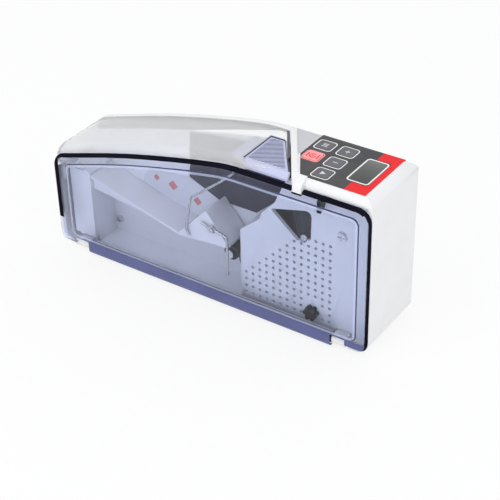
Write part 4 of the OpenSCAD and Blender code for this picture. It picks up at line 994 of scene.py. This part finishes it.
def label():
    """Note-handling label: pale card with plain red squares."""
    card = prism("tray_label_card", [(-54, 42.2, 1), (-19.8, 33, 1), (-4.4, 46, 1), (-22.7, 53.8, 1),
                                     (-50, 50, 1)], "y", WALL_Y - 0.3, WALL_Y)
    place(soften(card, 0.05, 1), "base", "label_paper", PAPER, "tray_label")
    marks = []
    for x, z, s in ((-34, 45.2, 3.0), (-18.6, 40.6, 2.7), (-44.5, 46.8, 2.0)):
        square = prism("square", [(x - s, z, 0.5), (x, z - s, 0.5), (x + s, z, 0.5), (x, z + s, 0.5)],
                       "y", WALL_Y - 0.36, WALL_Y - 0.28)
        marks.append(square)
    place(smooth(together("label_marks", marks)), "base", "label_paper", LABEL_RED)


tray()
label()

# ---- perforated deck


def deck():
    front, thick, foot = RIM_BACK + 4.5, 2.0, 19.4
    top = TOP - 6.2
    edge = [(foot, FLOOR, 0), (foot, 46, 2), (30.9, 55.9, 1), (32.1, 59.8, 1), (39.6, 68, 3),
            (46.4, top, 0)]
    plate = prism("deck", [(foot, FLOOR, 0), (X1 - WALL, FLOOR, 5.8), (X1 - WALL, top, 0)] + edge[:0:-1],
                  "y", front, front + thick)
    inner = [(21, FLOOR, 0), (21, 46, 0), (33.3, 55.9, 0), (34.2, 59.8, 0), (42, 68, 0), (46, 77.5, 0)]
    flank = prism("flank", edge[:5] + [(44.2, 77.5, 0)] + inner[::-1], "y", front, WALL_Y - 1.3)
    join(plate, flank)
    thumb, screw = centre_of("thumb_screw"), centre_of("sensor_screw")
    cut(plate, prism("sensor_notch", [(52.3, 51.1, 1), (60.1, 53.9, 1), (60.6, 70.4, 3), (37.1, 64.2, 1)],
                     "y", front - 1, front + thick + 1))
    cut(plate, block("foot_gap", (18, front - 1, -1), (X1, FACE + 8.8, BASE + 5.4)),
        block("ear_gap", (75.4, front - 1, -1), (83.6, front + 3, BASE + 7.3)),
        block("roller_gap", (18, -14.1, 15.6), (25.4, -0.3, 38.4)),
        rod("arm_hole", "y", screw.x, screw.z, front - 1, front + 3, 2.3, 32),
        rod("thumb_hole", "y", thumb.x, thumb.z, front - 1, front + 6, 1.56, 24),
        rod("boss_hole", "y", 77.5, 62.3, front - 1, front + 3, 1.3, 24))
    pitch = 4.05
    first = rod("vent", "y", foot + 3, 9.6, front - 1, front + thick + 1, 0.9, 16)
    steps = [(k * pitch, j * pitch) for k in range(13) for j in range(min(11, 3 + k) + 1)]
    vents = [again(first, "vent", (x, 0, z)) for x, z in steps
             if math.hypot(foot + 3 + x - thumb.x, 9.6 + z - thumb.z) > 6]
    bpy.data.objects.remove(first)
    cut(plate, together("vents", vents))
    place(soften(plate, 0.18), "base", "tray_white", DECK, "deck_cover")


deck()
arm = prism("sensor_lever", [(52.4, 47.5, 1), (60.4, 48.5, 1), (62, 73, 1), (47.5, 69, 1)], "y", -15, -13.2)
pick(arm, "FACE", lambda p, n: n.y < -0.9)
inset(0.7)
draw_out((0, 0.3, 0))
arm_hole = centre_of("sensor_screw")
cut(arm, rod("hole", "y", arm_hole.x, arm_hole.z, -17, -12, 1, 24))
place(soften(arm, 0.2), "base", "dark_plastic", ARM, "sensor_arm")


def screw_head(name, node, r, height, tip):
    """Cross-head screw seen from the front: a domed head with a cross recess, and its shank."""
    low, high = span(node)
    x, z = (low.x + high.x) / 2, (low.z + high.z) / 2
    head = rod(name, "y", x, z, low.y, low.y + height, r * 0.82, 40, r)
    for across_w, tall in ((r * 1.25, r * 0.28), (r * 0.28, r * 1.25)):
        cut(head, block("slot", (x - across_w / 2, low.y - 1, z - tall / 2),
                        (x + across_w / 2, low.y + height * 0.5, z + tall / 2)))
    join(head, rod("shank", "y", x, z, low.y + height - 0.1, high.y - 0.6, tip, 24))
    return soften(head, 0.08, 2)


for name, node, r, height, shank in (("deck_screw_head", "deck_screw", 2.8, 1.4, 1.1),
                                     ("sensor_screw_head", "sensor_screw", 2.0, 1.2, 1.0),
                                     ("tray_screw_head", "tray_screw", 2.3, 1.3, 1.2),
                                     ("wire_screw_head", "wire_pivot_screw", 1.9, 0.9, 0.9)):
    place(screw_head(name, node, r, height, shank), "base", "steel", BRIGHT, node)


def thumb_knob():
    low, high = span("thumb_screw")
    x, z, front = (low.x + high.x) / 2, (low.z + high.z) / 2, low.y
    knob = rod("thumb_knob", "y", x, z, front, front + 3.05, 2.6, 36)
    lobe = rod("lobe", "y", x + 2.75, z, front, front + 3.05, 1.2, 24)
    lobes = [again(lobe, "lobe", turn=60 * i, centre=(x, 0, z)) for i in range(6)]
    bpy.data.objects.remove(lobe)
    join(knob, *lobes)
    cut(knob, rod("dish", "y", x, z, front - 1, front + 0.6, 1.6, 32))
    join(knob, rod("stem", "y", x, z, front + 3, high.y - 1.1, 1.5, 28),
         rod("stop", "y", x, z, high.y - 1.2, high.y, 2.4, 32))
    place(soften(knob, 0.25, 3), "adjuster", "black_plastic", BLACK, "thumb_screw")


thumb_knob()

# ---- formed wires


def wire(name, points, bends, r=0.65):
    """Round wire through points in millimetres, with rounded bends and ends."""
    piece = one_point(name, points[0])
    for a, b in zip(points, points[1:]):
        draw_out(Vector(b) - Vector(a))
    for p in points[1:-1]:
        pick(piece, "VERT", lambda v: (v - Vector(p)).length < 0.01)
        bpy.ops.mesh.bevel(offset=bends * MM, segments=6, affect="VERTICES", clamp_overlap=False)
    clear()
    work_on(piece)
    bpy.ops.object.convert(target="CURVE")
    line = bpy.context.object
    line.data.dimensions = "3D"
    line.data.bevel_depth, line.data.bevel_resolution, line.data.use_fill_caps = r * MM, 5, True
    bpy.ops.object.convert(target="MESH")
    made = bpy.context.object
    made.name = name
    return soften(made, 0.2, 2, 60)


press_x, press_z = 16.8, 77.4
press_y = TRAY_Y - 1.1
press = wire("press_wire_form", [(press_x, -1.8, press_z), (press_x, press_y, press_z), (9, press_y, 70.4),
                                 (-8.5, press_y, 56.2), (-12.6, press_y, 36), (-10.4, press_y, 33.2)], 1.1)
place(press, "press_wire", "wire_steel", WIRE, "note_press_wire")


def stacker():
    y, x, z = TRAY_Y - 1, 3.5, 41.5
    clear()
    bpy.ops.mesh.primitive_torus_add(location=(x * MM, y * MM, z * MM), rotation=(RIGHT, 0, 0),
                                     major_segments=40, minor_segments=12, major_radius=1.61 * MM,
                                     minor_radius=0.65 * MM)
    eye = smooth(settle("eye"))
    left = wire("left", [(x - 1.61, y, z), (-1, y, 42.9), (-3, y, 43.6)], 0.6)
    right = wire("right", [(x + 1.61, y, z), (12, y, 39.6), (12.6, y, 37.4), (12.6, y, 17)], 0.9)
    place(together("stacker_wire_form", [eye, left, right]), "stack_wire", "wire_steel", WIRE,
          "stacker_wire")


stacker()
clip = rod("wire_clip_block", "y", press_x, press_z, -7, -1, 2.2, 32)
join(clip, block("foot", (press_x - 3.4, -2.4, press_z - 3.4), (press_x + 3.4, -1, press_z + 2.4)))
cut(clip, rod("bore", "y", press_x, press_z, -8, 0, 0.71, 24))
place(soften(clip, 0.3, 3), "base", "dark_plastic", THROAT, "wire_clip")

# ---- rollers and feet


def tyre(name, node, body, r, inner, width, grooves):
    """Two rubber tyres with fine grooves across the tread."""
    low, high = span(node)
    x, z = (low.x + high.x) / 2, (low.z + high.z) / 2
    made = []
    for y in (low.y, high.y - width):
        ring = rod("tyre", "y", x, z, y, y + width, r, 96)
        bore = rod("bore", "y", x, z, y - 1, y + width + 1, inner, 48)
        cut(ring, bore)
        slot = block("slot", (x + r - 0.35, y - 1, z - 0.22), (x + r + 1, y + width + 1, z + 0.22))
        slots = [again(slot, "slot", turn=360 / grooves * i, centre=(x, 0, z)) for i in range(grooves)]
        bpy.data.objects.remove(slot)
        cut(ring, together("slots", slots))
        made.append(soften(ring, 0.12, 1))
    place(together(name, made), body, "roller_rubber", TYRE, node)


tyre("feed_tyre_pair", "feed_tyres", "feed_roller", 10.8, 8.4, 5, 36)


def rubber_feet():
    first = rod("foot", "z", -78, -9.2, 0, BASE + 0.8, 4, 40)
    pick(first, "FACE", lambda p, n: n.z < -0.9)
    inset(0.8)
    draw_out((0, 0, 0.2))
    soften(first, 0.2, 2)
    others = [again(first, "foot", (dx, dy, 0)) for dx, dy in ((156, 0), (0, 22.2), (156, 22.2))]
    place(together("foot_pads", [first] + others), "base", "foot_rubber", FOOT, "rubber_feet")


rubber_feet()

# ---- back of the machine


def battery_door():
    low, high = span("battery_cover")
    x, x2, z, z2 = low.x + 2, high.x - 2, low.z + 1, high.z
    y, y2 = high.y - 2, high.y
    door = prism("battery_door", box_line(x, z, x2, z2, 0.8), "y", y, y2)
    join(door, rod("hinge_roll", "x", (y + y2) / 2, z, x, x2, 1.0, 32),
         rod("hinge_pins", "x", (y + y2) / 2, z, x - 2, x2 + 2, 0.7, 24))
    middle = (x + x2) / 2
    groove = block("groove", (middle - 8, y2 - 0.5, z2 - 9), (middle + 8, y2 + 1, z2 - 8.4))
    use(groove, "ARRAY", count=6, use_relative_offset=False, use_constant_offset=True,
        constant_offset_displace=(0, 0, 1.2 * MM))
    cut(door, groove)
    place(soften(door, 0.2), "bay_cover", "housing_white", WHITE, "battery_cover")


battery_door()


def case_screw_set():
    made = []
    for x, z in CASE_SCREWS:
        head = rod("head", "y", x, z, BACK - 1.2, BACK - 0.1, 2.5, 36, 2.2)
        for w, t in ((3.2, 0.7), (0.7, 3.2)):
            cut(head, block("slot", (x - w / 2, BACK - 0.6, z - t / 2), (x + w / 2, BACK + 1, z + t / 2)))
        join(head, rod("shank", "y", x, z, BACK - 9.6, BACK - 1.1, 1.1, 20))
        made.append(soften(head, 0.08))
    place(together("case_screw_heads", made), "base", "steel", BRIGHT, "case_screws")


case_screw_set()

# ---- carried-over nodes

dress(STEEL, "feed_shaft", "idler_pin", "motor_shaft", "pinch_shaft", "door_pins", "lid_pin",
      "battery_springs", "board_screws")
dress(BRASS, "feed_bushes", "motor_pinion")
dress(CAN, "motor_can")
dress(BLACK, "motor_cap", "buzzer", "display_module", "dc_jack", "switch_slider")
dress(DARK, "tact_switches", "power_switch", "battery_tray")
dress(HUB, "feed_hub", "drive_plate")
dress(GEAR, "feed_gear", "idler_gear")
dress(TYRE, "pinch_rollers")
dress(BOARD, "main_board")
dress(CELL, "battery_cells")

# ---- floor and light


def show_differently(tree, lit, seen, out):
    """Lights the scene with one shader, and shows another to the camera and in reflections."""
    path = tree.nodes.new("ShaderNodeLightPath")
    straight, any_of = (tree.nodes.new("ShaderNodeMath") for _ in range(2))
    straight.operation = any_of.operation = "MAXIMUM"
    mix = tree.nodes.new("ShaderNodeMixShader")
    for a, b in ((path.outputs["Is Camera Ray"], straight.inputs[0]),
                 (path.outputs["Is Glossy Ray"], straight.inputs[1]),
                 (straight.outputs[0], any_of.inputs[0]),
                 (path.outputs["Is Transmission Ray"], any_of.inputs[1]),
                 (any_of.outputs[0], mix.inputs[0]), (lit.outputs[0], mix.inputs[1]),
                 (seen.outputs[0], mix.inputs[2]), (mix.outputs[0], out.inputs["Surface"])):
        tree.links.new(a, b)


def studio():
    clear()
    bpy.ops.mesh.primitive_plane_add(size=8, location=(0, 0, 0))
    floor = bpy.context.object
    floor.name = "studio_floor"
    pale = bpy.data.materials.new("studio_white")
    pale.use_nodes = True
    tree = pale.node_tree
    shader = tree.nodes["Principled BSDF"]
    shader.inputs["Base Color"].default_value = (0.9, 0.9, 0.9, 1)
    shader.inputs["Roughness"].default_value = 0.9
    shader.inputs["Specular IOR Level"].default_value = 0.1
    glow = tree.nodes.new("ShaderNodeEmission")
    glow.inputs["Color"].default_value = (1, 1, 1, 1)
    blend = tree.nodes.new("ShaderNodeMixShader")
    blend.inputs[0].default_value = 0.82
    tree.links.new(shader.outputs[0], blend.inputs[1])
    tree.links.new(glow.outputs[0], blend.inputs[2])
    show_differently(tree, shader, blend, tree.nodes["Material Output"])
    floor.data.materials.append(pale)

    world = bpy.data.worlds.new("studio_world")
    bpy.context.scene.world = world
    world.use_nodes = True
    tree = world.node_tree
    tree.nodes.clear()
    out = tree.nodes.new("ShaderNodeOutputWorld")
    soft, bright = (tree.nodes.new("ShaderNodeBackground") for _ in range(2))
    for shader, colour, strength in ((soft, (0.97, 0.98, 1, 1), 0.88), (bright, (1, 1, 1, 1), 1)):
        shader.inputs["Color"].default_value = colour
        shader.inputs["Strength"].default_value = strength
    show_differently(tree, soft, bright, out)


def soft_lamp(name, place_mm, power):
    """Round lamp 0.9 m across that faces the middle of the machine."""
    bpy.ops.object.light_add(type="AREA", location=Vector(place_mm) * MM)
    lamp = bpy.context.object
    lamp.name = name
    lamp.data.shape = "DISK"
    lamp.data.size = 0.9
    lamp.data.energy = power
    lamp.rotation_euler = (Vector((0, 0, 45)) - Vector(place_mm)).to_track_quat("-Z", "Y").to_euler()


studio()
soft_lamp("key_lamp", (-300, -700, 1000), 2.3)
soft_lamp("fill_lamp", (700, -300, 700), 1.3)
soft_lamp("front_lamp", (-100, -900, 90), 1.2)
bpy.context.scene.view_settings.view_transform = "Standard"
